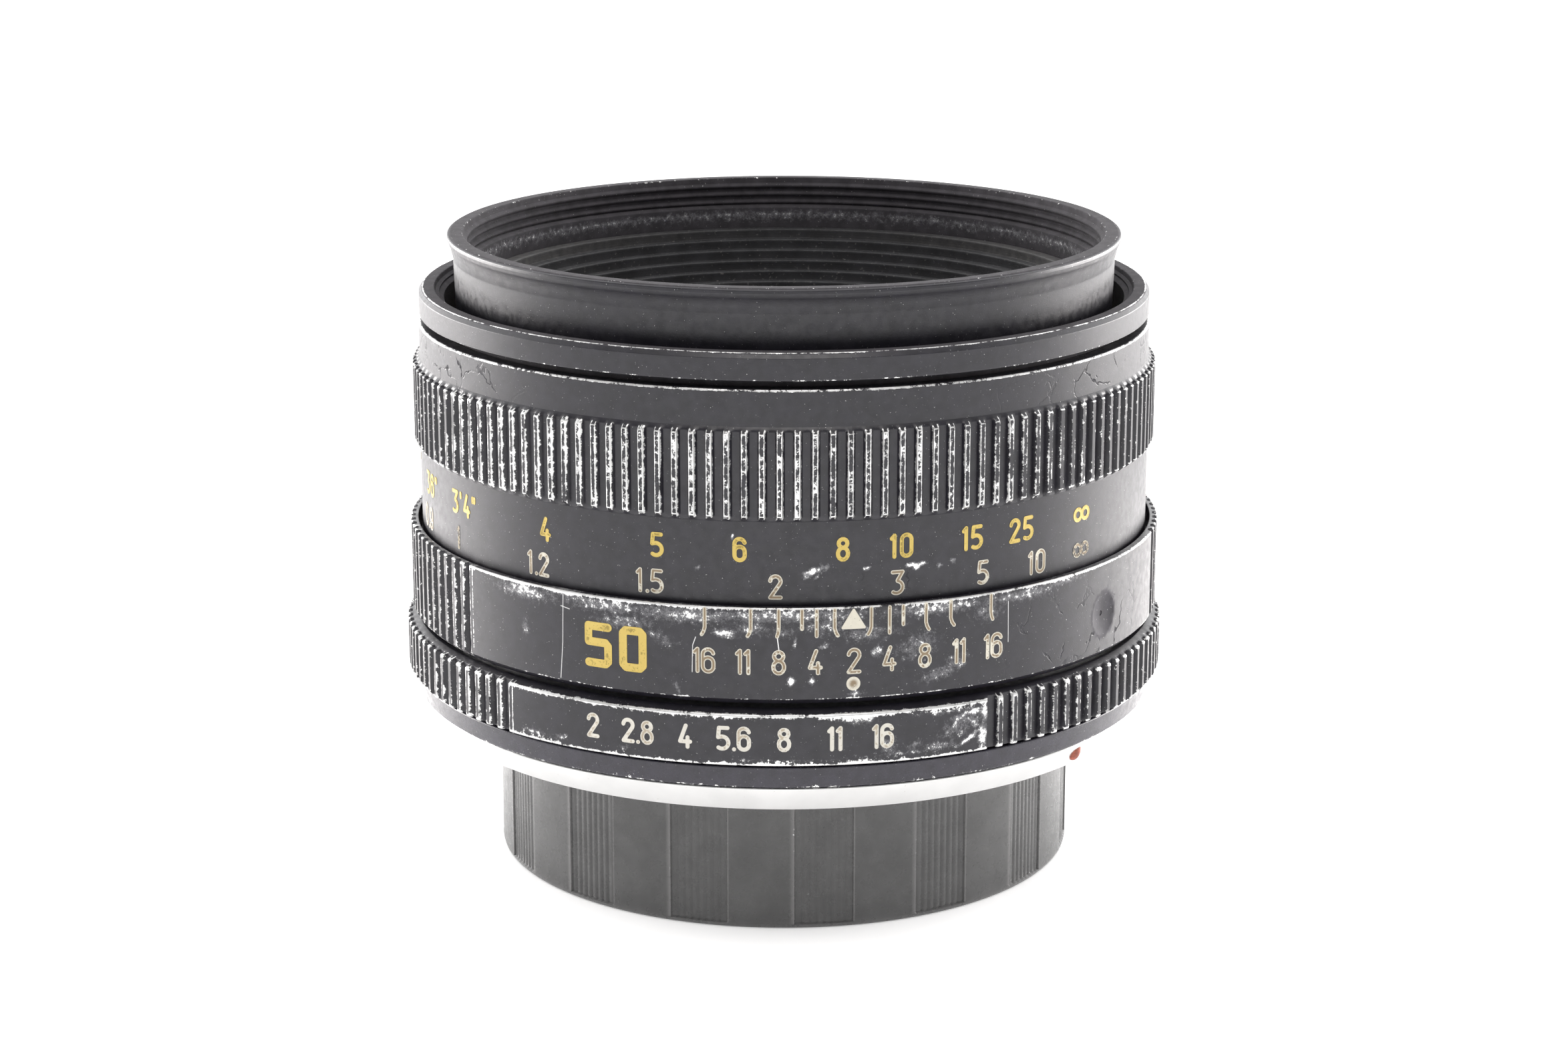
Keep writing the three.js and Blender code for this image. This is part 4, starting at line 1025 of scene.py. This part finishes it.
feet_marks = [distance_mark(distance, FEET_ROW, text) for text, distance in FEET.items()]
feet_marks.append(distance_mark(None, FEET_ROW, ["oo"], 0.2))
metre_marks = [distance_mark(float(text) * METRE, METRE_ROW, text) for text in METRES]
faded_marks = [distance_mark(None, METRE_ROW, ["oo"], 0.2), distance_mark(METRE, METRE_ROW, "1")]
feet = film("feet_figures", feet_marks, SCALE_RADIUS)
place(feet, "focus_group", "scale_yellow")
metres = film("metre_figures", metre_marks, SCALE_RADIUS)
place(metres, "focus_group", "scale_white", material=WORN_WHITE)
faded = film("faded_metre_figures", faded_marks, SCALE_RADIUS)
place(faded, "focus_group", "scale_white", material=FADED_WHITE)

F_STOPS = {"2": -27.6, "2.8": -20.7, "4": -13.75, "5.6": -6.95, "8": 0.0, "11": 7.0, "16": 13.75}
STOP_ROW, DEPTH_ROW, INDEX_ROW, DOT_ROW, FOCAL_ROW = 18.06, 24.25, 28.05, 23.44, 25.71
stops = [(angle, STOP_ROW, written(text, 2.08, STROKE, 0.12)) for text, angle in F_STOPS.items()]
aperture_figures = film("aperture_figures", stops, stop_radius)
place(aperture_figures, "aperture_group", "scale_white")

# (angle, length, side the tail bends to)
TICKS = [
    (-11.07, 2.1, -1), (-4.62, 2.1, -1), (-0.74, 2.1, -0.5), (2.49, 1.5, 0), (4.53, 2.1, 0),
    (7.04, 2.1, 1), (12.21, 2.1, -1), (14.85, 2.1, 0), (16.84, 1.5, 0), (20.22, 2.1, 1),
    (24.01, 2.0, 1.2), (30.53, 2.0, 0.7),
]
DEPTH_FIGURES = [("16", -11.2), ("11", -5.75), ("8", -0.74), ("4", 4.35), ("2", 9.78), ("4", 14.85),
                 ("8", 20.09), ("11", 25.36), ("16", 30.98)]
INDEX = 9.7
depth_marks = [(angle, DEPTH_ROW, written(text, 2.15, STROKE, 0.1)) for text, angle in DEPTH_FIGURES]
for angle, length, tail in TICKS:
    bend = 0.25 * tail
    line = [(0, 0), (0, -length + 0.6), (0.4 * bend, -length + 0.25), (bend, -length)]
    depth_marks.append((angle, depth_high - 0.2, [(line, 0.15)]))
triangle = [(-0.87, 0), (0.87, 0), (0, 1.45)]
depth_marks.append((INDEX, INDEX_ROW, [(triangle, None), (triangle + triangle[:1], 0.1)]))
depth_marks.append((INDEX, DOT_ROW, [([(0, 0), (0, 0.01)], 0.56)]))
depth_figures = film("depth_figures", depth_marks, depth_radius)
place(depth_figures, "lens_barrel", "scale_white", material=WORN_WHITE)

BOLD = 0.34
FIVE = [(0.89, 1.52), (-0.89, 1.52), (-0.89, 0.22), (0.66, 0.22), (0.89, -0.02), (0.89, -1.3),
        (0.66, -1.52), (-0.89, -1.52)]
NOUGHT = [(-0.6, 1.52), (0.6, 1.52), (0.85, 1.27), (0.85, -1.27), (0.6, -1.52), (-0.6, -1.52),
          (-0.85, -1.27), (-0.85, 1.27), (-0.6, 1.52)]
focal_marks = [(-27.08, FOCAL_ROW, [(FIVE, BOLD)]), (-21.65, FOCAL_ROW, [(NOUGHT, BOLD)])]
focal_length = film("focal_length_figures", focal_marks, depth_radius, cell=0.05)
place(focal_length, "lens_barrel", "scale_yellow")

SCRATCHES = [
    (-32.9, 22.4, [([(-0.35, 0), (-0.1, 3), (0, 7)], 0.03)]),
    (33.6, 25.4, [([(0, 0), (-0.05, 3.4)], 0.03)]),
    (-12.9, 24.3, [([(0, 0), (0.05, 2.2), (0.3, 2.9)], 0.03)]),
    (-0.7, 26.3, [([(0, 0), (-0.15, 1.2)], 0.04)]), (-32.7, 28.3, [([(-0.35, 0.15), (0.5, 0)], 0.03)]),
]
scratches = film("depth_ring_scratches", SCRATCHES, depth_radius, cell=0.03, rim=0.012, middle=0.01,
                 root=0.05)
place(scratches, "lens_barrel", "aluminium")

# ------------------------ the remaining CAD nodes

for part in frame["record"]["subparts"]:
    piece = frame["nodes"][part["node"]]
    for holder in piece.material_slots:
        holder.material = MATERIALS[part["material_slot"]]

# ------------------------ studio

bpy.ops.mesh.primitive_plane_add(size=6)
floor = bpy.context.object
floor.name = "floor"
floor_look = Look("floor", Base_Color=(0.93, 0.93, 0.93), Roughness=0.9, Emission_Color=(1, 1, 1),
                  Emission_Strength=0.4)
floor.data.materials.append(floor_look.material)

world = bpy.data.worlds.new("studio")
bpy.context.scene.world = world
sky = Nodes(world)
direction = sky.add("ShaderNodeSeparateXYZ", {0: sky.add("ShaderNodeTexCoord").outputs["Generated"]})
brightness = sky.band(direction.outputs["Y"], -0.2, 0.6, 0.35, 2.2)
# the backdrop itself is white all round
seen = sky.add("ShaderNodeLightPath").outputs["Is Camera Ray"]
background = sky.tree.nodes["Background"]
sky.feed(background.inputs["Color"], 1.0)
sky.feed(background.inputs["Strength"], sky.math("MAXIMUM", brightness, seen))


def light(name, kind, at, aim, **settings):
    lamp = bpy.data.lights.new(name, kind)
    for key, value in settings.items():
        setattr(lamp, key, value)
    box = bpy.data.objects.new(name, lamp)
    box.location = at
    box.rotation_euler = (Vector(aim) - Vector(at)).to_track_quat("-Z", "Y").to_euler()
    box.visible_camera = False
    bpy.context.scene.collection.objects.link(box)


def softbox(name, at, aim, size, power):
    light(name, "AREA", at, aim, shape="RECTANGLE", size=size[0], size_y=size[1], energy=power,
          color=(1, 0.965, 0.95))


softbox("left", (-0.5, 0.3, 0.075), (0, 0, 0.03), (0.5, 0.15), 4)
softbox("right", (0.5, 0.3, 0.075), (0, 0, 0.03), (0.5, 0.15), 4)
softbox("overhead", (0, -0.25, 0.55), (0, -0.05, 0), (0.35, 0.35), 1.2)
# a pool of light on the floor to either side, which the flanks of the rings mirror
for side in (-1, 1):
    light("pool", "SPOT", (0.25 * side, 0.12, 0.5), (0.1 * side, 0.045, 0), energy=25,
          spot_size=math.radians(15), spot_blend=0.7, color=(1, 0.95, 0.93), shadow_soft_size=0.02)

camera = bpy.data.cameras.new("camera")
camera.lens = 77.58
camera.sensor_width = 36
camera.clip_start = 0.01
eye = bpy.data.objects.new("camera", camera)
eye.location = (0, -0.28704, 0.10322)
eye.rotation_euler = (math.radians(75.33), 0, 0)
bpy.context.scene.collection.objects.link(eye)
bpy.context.scene.camera = eye
bpy.context.scene.view_settings.view_transform = "Standard"
